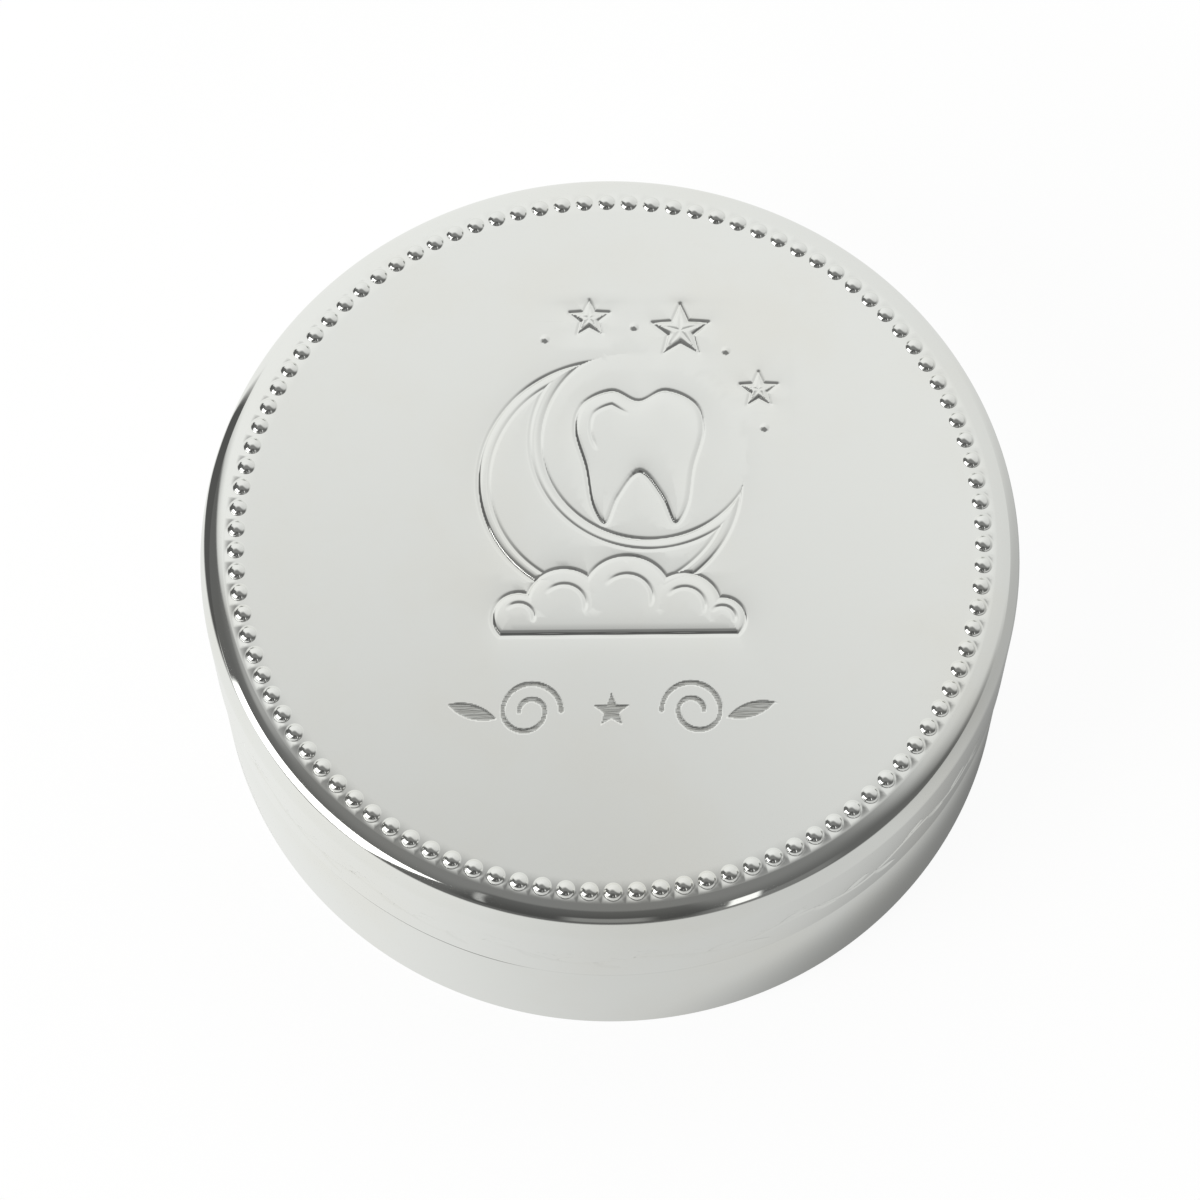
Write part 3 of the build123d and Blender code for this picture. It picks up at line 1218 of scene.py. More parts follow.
@dataclass
class Lid:
    """The pressed cap: flat top with relief, beaded border, shoulder and deep skirt.

    Sizes are in millimetres. The bead's foot and moat are slopes by distance from its
    middle, and the border's bend is an angle in radians by distance from the axis.
    """

    radius: float = 30.0
    depth: float = 10.9
    wall: float = 0.9
    shoulder: float = 2.5
    shoulder_steps: int = 20
    stitch_gap: float = 0.12
    lip: float = 0.15
    columns: int = 306

    bead_ring: float = 27.2
    bead_pitch: float = 1.675
    bead_ball: float = 0.745
    bead_foot: tuple[Span, ...] = ((0.61, 1.43), (0.635, 0.8), (0.66, 0.0))
    bead_moat: tuple[Span, ...] = ((0.66, 0.0), (0.71, -0.2), (0.82, -0.16), (0.9, 0.0))
    moat_edge: Span = (0.1, 0.5)
    bead_rings: tuple[float, ...] = (0.12, 0.24, 0.36, 0.46, 0.54, 0.6, 0.63, 0.65, 0.68, 0.74, 0.8)
    bead_spokes: int = 24
    border_half: float = 0.9
    bend: float = 0.077
    bend_outs: Span = (26.3, 27.3)
    bend_tilts: Span = (0.42, 0.24)
    profile_step: float = 0.005

    patch_half: float = 14.4
    patch_low: float = -16.8
    patch_high: float = 19.8
    patch_cell: float = 0.09
    patch_block: int = 5
    patch_edge: Span = (0.3, 1.2)
    garland_drop: float = 7.5
    garland_blocks: int = 6
    garland_block: int = 6
    slack: float = 0.0025
    probe: float = 0.01
    touch: float = 0.001
    bend_touch: float = 0.003

    engraved_rise: float = 3.5
    engraved_out: float = 24.0
    engraved_drop: float = 0.2
    engraved_inset: float = 0.02
    design: LidDesign = field(default_factory=LidDesign)

    def __post_init__(self) -> None:
        """Take the lid's levels from the frame and add up its slopes."""
        self.lip_level = node_box("lid_shell")[0][2]
        self.top_level = self.lip_level + self.depth
        self.beads = round(TURN * self.bead_ring / self.bead_pitch)
        self.garland = Garland(self.radius, self.top_level - self.garland_drop)
        self.border_edge = self.bead_ring + self.border_half
        self.add_up_bead()
        self.add_up_bend()

    def add_up_bead(self) -> None:
        """Work out the heights of a bead and of the moat round it, from their slopes."""
        steps = np.arange(0, self.bead_moat[-1][0], self.profile_step)
        ball_end = self.bead_foot[0][0]
        ball = steps / np.sqrt(self.bead_ball**2 - np.minimum(steps, ball_end) ** 2)
        foot = np.interp(steps, *np.transpose(self.bead_foot))
        moat = np.interp(steps, *np.transpose(self.bead_moat))
        slope = np.where(steps < ball_end, ball, foot)
        self.bead_steps = steps
        self.bead_heights = np.cumsum(slope[::-1])[::-1] * self.profile_step
        self.moat_heights = np.cumsum(moat[::-1])[::-1] * self.profile_step

    def add_up_bend(self) -> None:
        """Work out how far the plain cap drops towards the shoulder, from its slope."""
        step = self.profile_step
        outs = np.arange(self.bend_outs[0], self.border_edge + step / 2, step)
        over = np.maximum(outs - (self.radius - self.shoulder), 0)
        early = self.bend * soft_step(outs, *self.bend_outs)
        slope = np.tan(np.arcsin(over / self.shoulder) + early)
        self.outs = outs
        self.drops = (np.cumsum(slope) - slope[0]) * step
        sag = self.drops[-1] - self.shoulder + math.sqrt(self.shoulder**2 - over[-1] ** 2)
        self.shoulder_level = self.top_level - self.shoulder - sag

    def plain_level(self, out: np.ndarray) -> np.ndarray:
        """Level of the plain cap at a distance from the axis, as far as the border's edge."""
        return self.top_level - np.interp(out, self.outs, self.drops, left=0)

    def level(self, x: np.ndarray, y: np.ndarray) -> np.ndarray:
        """Level of the cap's top with its beads and relief.

        Args:
            x: The points' x.
            y: The points' y.

        Returns:
            Their level.
        """
        out, angle = np.hypot(x, y), np.arctan2(y, x)
        nearest = (np.floor(angle * self.beads / TURN) + 0.5) * TURN / self.beads
        away = np.hypot(out - self.bead_ring, self.bead_ring * (angle - nearest))
        level = self.plain_level(out) + np.interp(away, self.bead_steps, self.bead_heights, right=0)
        moat = np.interp(away, self.bead_steps, self.moat_heights, right=0)
        level = level + moat * soft_step(out - self.bead_ring, *self.moat_edge)
        from_side = self.patch_half - np.abs(x)
        from_end = np.minimum(y - self.patch_low, self.patch_high - y)
        fade = soft_step(np.minimum(from_side, from_end), *self.patch_edge)
        near = fade > 0
        level[near] += fade[near] * self.design.height(x[near], y[near])
        return level

    def bead_cell(self) -> tuple[np.ndarray, list[tuple[int, ...]]]:
        """One bead's share of the border.

        Returns:
            Its points, out from the bead's middle and round, and its faces.
        """
        spokes = self.bead_spokes
        turn = np.arange(spokes) * TURN / spokes
        rings = [np.stack([d * np.cos(turn), d * np.sin(turn)], -1) for d in self.bead_rings]
        quarters = (np.arange(spokes) + spokes / 8) % spokes / (spokes / 4)
        side = np.floor(quarters).astype(int)
        share = 2 * (quarters - side) - 1
        one = np.ones_like(share)
        out = np.choose(side, [one, -share, -one, share])
        across = np.choose(side, [share, one, -share, -one])
        half = self.bead_ring * TURN / self.beads / 2
        rings.append(np.stack([out * self.border_half, across * half], -1))
        points = np.vstack([[(0.0, 0.0)], *rings])
        faces = [(0, 1 + n, 1 + (n + 1) % spokes) for n in range(spokes)]
        for ring in range(len(rings) - 1):
            start = 1 + ring * spokes
            for n in range(spokes):
                after = (n + 1) % spokes
                faces.append((start + n, start + spokes + n, start + spokes + after, start + after))
        return points, faces

    def add_border(self, blank: Blank) -> None:
        """Add the ring of beads.

        Args:
            blank: What the cap is gathered in.
        """
        cell, faces = self.bead_cell()
        for n in range(self.beads):
            out = self.bead_ring + cell[:, 0]
            angle = (n + 0.5) * TURN / self.beads + cell[:, 1] / self.bead_ring
            x, y = out * np.cos(angle), out * np.sin(angle)
            blank.add(np.stack([x, y, self.level(x, y)], -1), faces)

    def ring(self, out: float, level: float, count: int) -> np.ndarray:
        """A level ring of points round the axis."""
        angle = np.arange(count) * TURN / count
        return np.stack([out * np.cos(angle), out * np.sin(angle), np.full(count, level)], -1)

    def add_top(self, blank: Blank) -> None:
        """Add the relief in the middle and the plain face round it.

        Args:
            blank: What the cap is gathered in.
        """
        block = self.patch_block
        cell = self.patch_cell * block
        across = round(2 * self.patch_half / cell) * block
        along = round((self.patch_high - self.patch_low) / cell) * block
        x, y = np.meshgrid(
            np.linspace(-self.patch_half, self.patch_half, across + 1),
            np.linspace(self.patch_low, self.patch_high, along + 1),
        )
        level = self.level(x, y)
        patch = np.stack([x, y, level], -1)
        blank.add_used(patch, spare_faces(level, block, self.slack, closed=False))
        edge = patch[::block, ::block]
        edge = [*edge[0, :], *edge[1:, -1], *edge[-1, -2::-1], *edge[-2:0:-1, 0]]
        rim = self.ring(self.bead_ring - self.border_half, self.top_level, 2 * self.columns)
        loops = [[Vector(p) for p in rim], [Vector(p) for p in edge]]
        blank.add(np.array([*rim, *edge]), tessellate_polygon(loops))

    def add_skirt(self, blank: Blank) -> None:
        """Add the shoulder and the skirt's outside, down to the lip.

        Args:
            blank: What the cap is gathered in.
        """
        high, low, outer = self.shoulder_level, self.lip_level + self.lip, self.border_edge
        fine = self.ring(outer, float(self.plain_level(np.array(outer))), 2 * self.columns)
        centre = self.radius - self.shoulder
        start = math.degrees(math.acos((outer + self.stitch_gap - centre) / self.shoulder))
        bend = arc((centre, high), self.shoulder, start, 0, self.shoulder_steps)
        shoulder = lathe(bend, self.columns)
        blank.add(*stitch(fine, shoulder[0]))
        blank.add_grid(shoulder, closed=True)
        garland, block = self.garland, self.garland_block
        above, below = garland.middle + garland.half, garland.middle - garland.half
        count = self.columns * block
        levels = np.linspace(above, below, self.garland_blocks * block + 1)
        angle, up = np.meshgrid(np.arange(count) * TURN / count, levels)
        cut = garland.cut(angle, up)
        out = self.radius - cut
        band = np.stack([out * np.cos(angle), out * np.sin(angle), up], -1)
        blank.add_used(band, spare_faces(cut, block, self.slack, closed=True))
        for top, bottom in ((high, above), (below, low)):
            profile = [(self.radius, top), (self.radius, bottom)]
            blank.add_grid(lathe(profile, self.columns), closed=True)

    def top_normals(self, x: np.ndarray, y: np.ndarray) -> np.ndarray:
        """Upright normals of the cap's top, of any length.

        Args:
            x: The points' x.
            y: The points' y.

        Returns:
            The normals.
        """
        step = self.probe
        rise_x = (self.level(x + step, y) - self.level(x - step, y)) / (2 * step)
        rise_y = (self.level(x, y + step) - self.level(x, y - step)) / (2 * step)
        return np.stack([-rise_x, -rise_y, np.ones_like(x)], -1)

    def bend_normals(self, out: np.ndarray, angle: np.ndarray, up: np.ndarray) -> np.ndarray:
        """Normals of the shoulder, which lean out a little more near the border.

        Args:
            out: The points' distance from the axis.
            angle: Their turn about it.
            up: Their level.

        Returns:
            The normals.
        """
        tilt = np.arctan2(out - (self.radius - self.shoulder), up - self.shoulder_level)
        tilt = tilt + self.bend * soft_step(tilt, *self.bend_tilts)
        outward = np.stack([np.cos(angle), np.sin(angle)], -1)
        return np.column_stack([np.sin(tilt)[:, None] * outward, np.cos(tilt)])

    def side_normals(self, angle: np.ndarray, up: np.ndarray) -> np.ndarray:
        """Normals of the skirt's outside, of any length.

        Args:
            angle: The points' turn about the axis.
            up: Their level.

        Returns:
            The normals.
        """
        cut, step, turn = self.garland.cut, self.probe, self.probe / self.radius
        round_rise = (cut(angle + turn, up) - cut(angle - turn, up)) / (2 * step)
        up_rise = (cut(angle, up + step) - cut(angle, up - step)) / (2 * step)
        across = np.stack([-np.sin(angle), np.cos(angle), 0 * angle], -1)
        outward = np.stack([np.cos(angle), np.sin(angle), 0 * angle], -1)
        upward = np.array([0.0, 0.0, 1.0])
        return outward + across * round_rise[:, None] + upward * up_rise[:, None]

    def lean(self, points: np.ndarray) -> np.ndarray:
        """True normals of the cap's outside.

        Args:
            points: The mesh's points.

        Returns:
            The normal at each, or zeros on the inside and at the lip.
        """
        x, y, z = points.T
        out, angle = np.hypot(x, y), np.arctan2(y, x)
        high, touch = self.shoulder_level, self.touch
        flat = (out < self.border_edge + touch) & (z > self.top_level - self.wall / 2)
        off = np.abs(np.hypot(out - (self.radius - self.shoulder), z - high) - self.shoulder)
        bend = ~flat & (off < self.bend_touch) & (z > high)
        side = (out > self.radius - 2 * self.garland.depth) & (z < high + touch)
        side &= z > self.lip_level + self.lip - touch
        normals = np.zeros_like(points)
        normals[flat] = self.top_normals(x[flat], y[flat])
        normals[bend] = self.bend_normals(out[bend], angle[bend], z[bend])
        normals[side] = self.side_normals(angle[side], z[side])
        length = np.linalg.norm(normals, axis=-1, keepdims=True)
        return normals / np.where(length > 0, length, 1)

    def inside_profile(self) -> list[Span]:
        """The lip, the skirt's inside and the ceiling, ending near the axis.

        Returns:
            Points out from the axis and up.
        """
        inner = self.radius - self.wall
        lip_up = self.lip_level + self.lip
        corner = self.shoulder - self.wall
        ceiling = self.top_level - self.wall
        profile = arc((self.radius - self.lip, lip_up), self.lip, 0, -90, steps=4)
        profile += arc((inner + self.lip, lip_up), self.lip, -90, -180, steps=4)
        profile += arc((inner - corner, ceiling - corner), corner, 0, 90, steps=8)
        return [*profile, (inner / 2, ceiling), (NEAR_AXIS, ceiling)]

    def build(self, polished: bpy.types.Material, cut: bpy.types.Material) -> None:
        """Make the cap.

        Args:
            polished: Its finish.
            cut: The finish inside the engraved flourish.
        """
        blank = Blank()
        self.add_top(blank)
        self.add_border(blank)
        self.add_skirt(blank)
        blank.add_grid(lathe(self.inside_profile(), self.columns), closed=True)
        piece = blank.make("lid_cap", lean=self.lean)
        place_piece(piece, Body.LID, Slot.SILVER, polished, "lid_shell")
        piece.data.materials.append(cut)
        self.mark_engraving(piece.data)

    def mark_engraving(self, mesh: bpy.types.Mesh) -> None:
        """Give the faces inside the engraved flourish the second finish.

        Args:
            mesh: The cap's mesh.
        """
        centres = np.empty(3 * len(mesh.polygons))
        mesh.polygons.foreach_get("center", centres)
        x, y, z = centres.reshape(-1, 3).T / MM
        on_top = z > self.top_level - self.engraved_drop
        below = y < self.design.flourish_y + self.engraved_rise
        flourish = on_top & below & (np.hypot(x, y) < self.engraved_out)
        marks = np.zeros(len(x), dtype=np.int32)
        depth = self.design.engraved(x[flourish], y[flourish])
        marks[flourish] = depth > self.engraved_inset
        mesh.polygons.foreach_set("material_index", marks)


@dataclass
class Base:
    """The drawn cup, its neck collar and the felt below it, in millimetres and degrees."""

    wall_radius: float = 29.9
    inner_radius: float = 29.03
    foot_round: float = 0.55
    rim_round: float = 0.15
    inner_round: float = 0.8
    rim_width: float = 3.0
    collar_wall: float = 0.8
    collar_rounds: Span = (0.3, 0.1)
    felt_round: float = 0.12
    columns: int = 612
    felt_columns: int = 240
    crisp: float = 40.0
    felt_crisp: float = 50.0

    def cup_profile(self) -> list[Span]:
        """The cup's profile, from the recess under it round to its floor.

        Returns:
            Points out from the axis and up.
        """
        low, high = (corner[2] for corner in node_box("base_shell"))
        recess = node_box("underside_felt")[1][2]
        floor = node_box("floor_pad_board")[0][2]
        outer, inner = self.wall_radius, self.inner_radius
        foot, rim, turn = self.foot_round, self.rim_round, self.inner_round
        recess_radius = outer - self.rim_width
        profile = [(NEAR_AXIS, recess), (recess_radius, recess), (recess_radius, low)]
        profile += arc((outer - foot, low + foot), foot, -90, 0, steps=8)
        profile += arc((outer - rim, high - rim), rim, 0, 90, steps=4)
        profile += [(inner, high)]
        profile += arc((inner - turn, floor + turn), turn, 0, -90, steps=6)
        return [*profile, (NEAR_AXIS, floor)]

    def collar_profile(self) -> list[Span]:
        """The neck collar's profile, eased where the lid slides over it.

        Returns:
            Points out from the axis and up.
        """
        low, high = node_box("neck_collar")
        outer, bottom, top = high[0], low[2], high[2]
        inner = outer - self.collar_wall
        ease, inner_ease = self.collar_rounds
        profile = [(inner, bottom), (outer, bottom)]
        profile += arc((outer - ease, top - ease), ease, 0, 90, steps=6)
        profile += arc((inner + inner_ease, top - inner_ease), inner_ease, 90, 180, steps=3)
        return [*profile, (inner, bottom)]

    def felt_profile(self) -> list[Span]:
        """The felt disc's profile.

        Returns:
            Points out from the axis and up.
        """
        low, high = node_box("underside_felt")
        radius, bottom, top = high[0], low[2], high[2]
        ease = self.felt_round
        profile = [(NEAR_AXIS, bottom), (radius / 2, bottom)]
        profile += arc((radius - ease, bottom + ease), ease, -90, 0, steps=4)
        return [*profile, (radius, top), (NEAR_AXIS, top)]

    def build(self, silver: bpy.types.Material, felt: bpy.types.Material) -> None:
        """Make the cup, the collar and the felt disc.

        Args:
            silver: The finish of the cup and the collar.
            felt: The disc's finish.
        """
        cup = turn_piece("base_cup", self.cup_profile(), self.columns, self.crisp)
        place_piece(cup, Body.BASE, Slot.SILVER, silver, "base_shell")
        collar = turn_piece("collar_sleeve", self.collar_profile(), self.columns, self.crisp)
        place_piece(collar, Body.BASE, Slot.SILVER, silver, "neck_collar")
        disc = turn_piece("felt_disc", self.felt_profile(), self.felt_columns, self.felt_crisp)
        place_piece(disc, Body.BASE, Slot.FELT, felt, "underside_felt")


@dataclass
class WallLining:
    """Velvet on the card strip inside the collar, turned over the strip's top."""

    columns: int = 240
    thick: float = 0.5
    turned: float = 1.35
    crisp: float = 60.0

    def build(self, material: bpy.types.Material) -> None:
        """Make the lining.

        Args:
            material: Its finish.
        """
        low, high = node_box("wall_lining_velvet")
        outer, bottom, top = high[0], low[2], high[2]
        inner = outer - self.turned
        thick, soft = self.thick, self.thick / 2
        profile = [(inner, bottom), (inner, (bottom + top) / 2)]
        profile += arc((inner + soft, top - soft), soft, 180, 90, steps=5)
        profile += arc((outer - soft, top - soft), soft, 90, 0, steps=5)
        profile += [(outer, top - thick), (inner + thick, top - thick)]
        profile += [(inner + thick, bottom), (inner, bottom)]
        piece = turn_piece("wall_velvet", profile, self.columns, self.crisp)
        place_piece(piece, Body.BASE, Slot.VELVET, material, "wall_lining_velvet")
        around = TURN * inner * MM


@dataclass
class Pad:
    """Velvet drawn over foam and card, in the base or under the lid.

    Sizes are in millimetres. The cloth is simulated at `swell` times its size.
    """

    name: str
    body: Body
    face_down: bool
    crown: float
    ease: float
    cells: int = 84
    ease_steps: int = 5
    tuck: float = 3.0
    tuck_edge: float = 0.3
    held_below: float = 0.35
    swell: float = 10.0
    slack_share: float = 0.998
    pressure: float = 4.0
    spare_cloth: float = 0.05
    steps: int = 20
    reach: float = 0.22

    def build(self, material: bpy.types.Material) -> None:
        """Make the pad's velvet.

        Args:
            material: Its finish.
        """
        node = f"{self.name}_velvet"
        low, high = node_box(node)
        piece = self.drawn_over(high[0] - self.reach / 2, high[2] - low[2] - self.reach)
        self.settle(piece)
        places = self.places(piece)
        places[:, 2] = high[2] * MM - places[:, 2] if self.face_down else low[2] * MM + places[:, 2]
        self.move(piece, places)
        if self.face_down:
            piece.data.flip_normals()
        place_piece(piece, self.body, Slot.VELVET, material, node)

    def drawn_over(self, radius: float, tall: float) -> bpy.types.Object:
        """The velvet as it is drawn over the foam, face up on the level zero.

        Args:
            radius: The pad's radius.
            tall: Its height in the middle.

        Returns:
            The piece, with an even net of points.
        """
        ball = (radius**2 + self.crown**2) / (2 * self.crown)
        across = np.linspace(-1, 1, self.cells + 1)
        u, v = np.meshgrid(across, across)
        x = u * np.sqrt(1 - v**2 / 2) * (radius - self.ease)
        y = v * np.sqrt(1 - u**2 / 2) * (radius - self.ease)
        middle = np.stack([x, y, tall - ball + np.sqrt(ball**2 - x**2 - y**2)], -1)
        rim = np.vstack([middle[0, :-1], middle[:-1, -1], middle[-1, :0:-1], middle[:0:-1, 0]])
        level = rim[0, 2] - self.ease
        profile = [
            (radius - self.ease * (1 - math.sin(a)), level + self.ease * math.cos(a))
            for a in np.linspace(0, np.pi / 2, self.ease_steps + 1)
        ]
        profile += [(radius, level / 2), (radius, self.tuck_edge)]
        profile += [(radius - self.tuck_edge, 0.0), (radius - self.tuck, 0.0)]
        way = rim[:, :2] / (radius - self.ease)
        rows = [np.column_stack([out * way, np.full(len(way), up)]) for out, up in profile]
        blank = Blank()
        blank.add_grid(middle, closed=False)
        blank.add_grid(np.array(rows), closed=True)
        return blank.make(self.name)

    @staticmethod
    def places(piece: bpy.types.Object) -> np.ndarray:
        """Where a piece's points lie.

        Args:
            piece: The piece.

        Returns:
            Rows of x, y and z, in metres.
        """
        places = np.empty(3 * len(piece.data.vertices))
        piece.data.vertices.foreach_get("co", places)
        return places.reshape(-1, 3)

    @staticmethod
    def move(piece: bpy.types.Object, places: np.ndarray) -> None:
        """Put a piece's points at these places."""
        piece.data.vertices.foreach_set("co", places.ravel())
        piece.data.update()

    @staticmethod
    def apply(piece: bpy.types.Object) -> None:
        """Apply a piece's modifiers to its mesh.

        Args:
            piece: The piece.
        """
        depsgraph = bpy.context.evaluated_depsgraph_get()
        piece.data = bpy.data.meshes.new_from_object(piece.evaluated_get(depsgraph))
        piece.modifiers.clear()

    def settle(self, piece: bpy.types.Object) -> None:
        """Let the velvet settle by cloth simulation.

        It is held where it is tucked under, blown up softly from below and a little
        too wide for its foam, and no point moves far.

        Args:
            piece: The velvet, face up.
        """
        rest = self.places(piece)
        tucked = np.flatnonzero(rest[:, 2] < self.held_below * MM)
        piece.vertex_groups.new(name="tucked").add(tucked.tolist(), 1.0, "REPLACE")
        self.move(piece, rest * self.swell * self.slack_share)
        cloth = piece.modifiers.new("settle", "CLOTH").settings
        settings = {
            "quality": 6,
            "mass": 0.3,
            "tension_stiffness": 15,
            "compression_stiffness": 15,
            "bending_stiffness": 0.4,
            "use_pressure": True,
            "uniform_pressure_force": self.pressure,
            "shrink_min": -self.spare_cloth,
            "vertex_group_mass": "tucked",
        }
        for name, setting in settings.items():
            setattr(cloth, name, setting)
        cloth.effector_weights.gravity = 0
        for step in range(1, self.steps + 1):
            bpy.context.scene.frame_set(step)
        self.apply(piece)
        shift = self.places(piece) / self.swell - rest
        length = np.linalg.norm(shift, axis=-1, keepdims=True)
        self.move(piece, rest + shift * np.minimum(1, self.reach * MM / np.maximum(length, 1e-9)))
        piece.modifiers.new("finer", "SUBSURF").levels = 1
        self.apply(piece)
        bpy.context.scene.frame_set(1)


@dataclass(frozen=True)
class Way:
    """A direction in the studio: bearing and lift in degrees, and its three axes."""

    bearing: Value
    lift: Value
    right: Value
    deep: Value
    up: Value


@dataclass(frozen=True)
class Patch:
    """A soft-edged patch of the surroundings, placed in degrees.

    Its bearing holds at its own lift and changes by `slant` for each degree above it.
    """

    bearing: float
    wide: Span
    lift: float
    tall: Span
    level: float
    slant: float = 0.0

    def mask(self, way: Way) -> Value:
        """1 inside the patch and 0 outside it."""
        across = abs(way.bearing - self.bearing - (way.lift - self.lift) * self.slant)
        return across.smooth(*self.wide) * abs(way.lift - self.lift).smooth(*self.tall)

    def over(self, way: Way, level: Value) -> Value:
        """The surroundings' level with this patch over it."""
        return self.mask(way).blend(level, self.level)


@dataclass(frozen=True)
class Slope:
    """A straight line: its level at one place and how fast it rises from there."""

    level: float
    place: float
    rise: float

    def at(self, value: Value) -> Value:
        """The line's level at this value."""
        return self.level + (value - self.place) * self.rise


@dataclass
class Studio:
    """Camera, table and the surroundings that the silver mirrors.

    Sizes are in millimetres. Bearings are in degrees from the front, positive to the
    right, and lifts in degrees above the table.
    """

    camera_place: tuple[float, float, float] = (-0.75, -124.2, 317.57)
    camera_pitch: float = 67.94
    camera_roll: float = -0.49
    camera_near: float = 10.0
    focal_pixels: float = 4387.0
    frame_pixels: float = 1200.0
    sensor: float = 36.0

    tint_shares: Span = (0.99, 0.975)
    sheet_middle: float = 0.73
    sheet_swing: float = 0.13
    sheet_brightest: float = -140.0
    sheet_glow: float = 0.085
    glow_bearing: float = -50.0
    glow_edge: Span = (56, 8)
    sheet_right: Span = (60, 95)
    right_lean: Slope = Slope(0.0, 20.0, 0.5)
    right_foot: float = 13.0
    right_foot_edge: Span = (22, 4)
    sheet_left: tuple[float, float, float] = (127.0, 0.28, 0.0025)
    left_foot: float = -3.5
    left_edge: Span = (-2.5, 2.5)
    left_haze: Span = (-16, 14)
    overhead_slant: float = 0.82
    overhead_least: float = 0.05
    overhead_edge: Span = (-0.03, 0.57)

    room_levels: Span = (0.125, 0.205)
    room_edge: Span = (22, 62)
    front: Patch = Patch(-6, (30, 22), 38, (23, 16), 0.42)
    tripod: Patch = Patch(-1, (11, 6), 26, (9, 4), 0.24)
    shelf: Patch = Patch(32, (18, 10), 17, (9, 5), 0.19)
    window: Patch = Patch(27, (4.0, 2.4), 26, (10, 7), 1.1, slant=0.12)
    rod: Patch = Patch(-28.63, (1.7, 0.3), 38, (16, 10), 0.4, slant=-0.13)
    flag_lifts: tuple[Span, Span] = ((40, 47), (70, 60))
    flag_bearings: tuple[Span, Span] = ((-80, -96), (-130, -118))
    flag_share: float = 0.75
    flag_level: float = 0.42

    lamp_level: float = 2.6
    lamp_edge: Span = (-1.2, 1.2)
    lamp_top: Slope = Slope(19.8, -86.0, 1 / 3)
    lamp_bottom: Slope = Slope(-0.4, -88.0, 0.18)
    lamp_near: Slope = Slope(-39.8, 30.0, 0.47)
    lamp_far: Span = (-91, -88)

    table_half: float = 600.0
    paper: Colour = (0.92, 0.92, 0.915)
    table_white: float = 1.06
    near_table: Span = (60, 140)
    near_share: float = 0.87
    table_lift: float = 12.0
    table_round: float = 18.5
    table_edge: Span = (-2.5, 2.5)
    ground_edge: Span = (1, -1)
    shadow_share: float = 0.20
    shadow_bearing: float = 93.0
    shadow_edge: Span = (44, 6)
    painted_shadow_pools: tuple[tuple[float, float, Span, float], ...] = (
        (12, 3, (38, 23), 0.2),
        (9, -7, (24.5, 18), 0.55),
    )
    dark_level: float = 0.09
    dark_bearings: tuple[Span, Span] = ((-92, -100), (-137, -133))
    wedge_tip: Span = (-34, 20)
    wedge_turns: tuple[Span, Span] = ((50, 42), (-12, 0))
    wedge_start: Span = (4, 120)

    soft_place: tuple[float, float, float] = (-260, -160, 330)
    soft_size: float = 180.0
    soft_watts: float = 0.35

    def sheet_tone(self, bearing: Value) -> Value:
        """Tone of the white sheet hung round the box.

        Args:
            bearing: The bearing.

        Returns:
            Its tone.
        """
        swing = ((bearing - self.sheet_brightest) * math.radians(1)).maths("COSINE")
        glow = abs(bearing - self.glow_bearing).smooth(*self.glow_edge)
        return self.sheet_middle + self.sheet_swing * swing + self.sheet_glow * glow

    def table_tone(self, bearing: Value) -> Value:
        """Tone of the table, darker in the long shadow to the right."""
        shadow = abs(bearing - self.shadow_bearing).smooth(*self.shadow_edge)
        return self.sheet_tone(bearing) - self.shadow_share * shadow

    def way(self, recipe: Recipe) -> Way:
        """The direction that the world is looked at in.

        Args:
            recipe: The world's tree.

        Returns:
            The direction.
        """
        right, deep, up = recipe.axes(recipe.add("ShaderNodeTexCoord", output="Generated"))
        lift = up.maths("MINIMUM", 1.0).maths("ARCSINE") * math.degrees(1)
        return Way(bearing_of(right, deep), lift, right, deep, up)

    def dark_room(self, way: Way) -> Value:
        """The unlit room in front, darkest where the camera stands.

        Args:
            way: The direction.

        Returns:
            Its level.
        """
        room = way.lift.smooth(*self.room_edge).blend(*self.room_levels)
        room = room * (1 - self.front.level * self.front.mask(way))
        return self.tripod.over(way, room)

    def lit_part(self, way: Way) -> Value:
        """Where the white sheet hangs: to the right, behind and overhead at the back.

        Args:
            way: The direction.

        Returns:
            1 on the sheet and 0 off it.
        """
        bearing, lift = way.bearing, way.lift
        start, end = self.sheet_right
        foot = self.right_foot * lift.smooth(*self.right_foot_edge)
        right = (bearing - foot).smooth(start - self.right_lean.at(lift).at_least(0.0), end)
        far, rise, curve = self.sheet_left
        up = lift - self.left_foot
        left = up * rise + up * up * curve - bearing - far
        left = left.smooth(*self.left_edge) * left.smooth(*self.left_haze)
        reach = way.deep + self.overhead_slant * way.right.at_least(0.0)
        overhead = (reach / way.up.at_least(self.overhead_least)).smooth(*self.overhead_edge)
        return right.at_least(left) * overhead

    def softbox(self, way: Way) -> Value:
        """The slanting softbox low on the left.

        Args:
            way: The direction.

        Returns:
            1 inside it and 0 outside it.
        """
        bearing, lift = way.bearing, way.lift
        top = (self.lamp_top.at(bearing) - lift).smooth(*self.lamp_edge)
        bottom = (lift - self.lamp_bottom.at(bearing)).smooth(*self.lamp_edge)
        near = (self.lamp_near.at(lift) - bearing).smooth(*self.lamp_edge)
        return top * bottom * near * bearing.smooth(*self.lamp_far)

    def table_part(self, way: Way) -> Value:
        """Where the table and the ground below it lie.

        Args:
            way: The direction.

        Returns:
            1 on them and 0 above them.
        """
        edge = self.table_lift - (abs(way.bearing) / self.table_round) ** 2
        table = (edge - way.lift).smooth(*self.table_edge)
        return table.at_least(way.lift.smooth(*self.ground_edge))

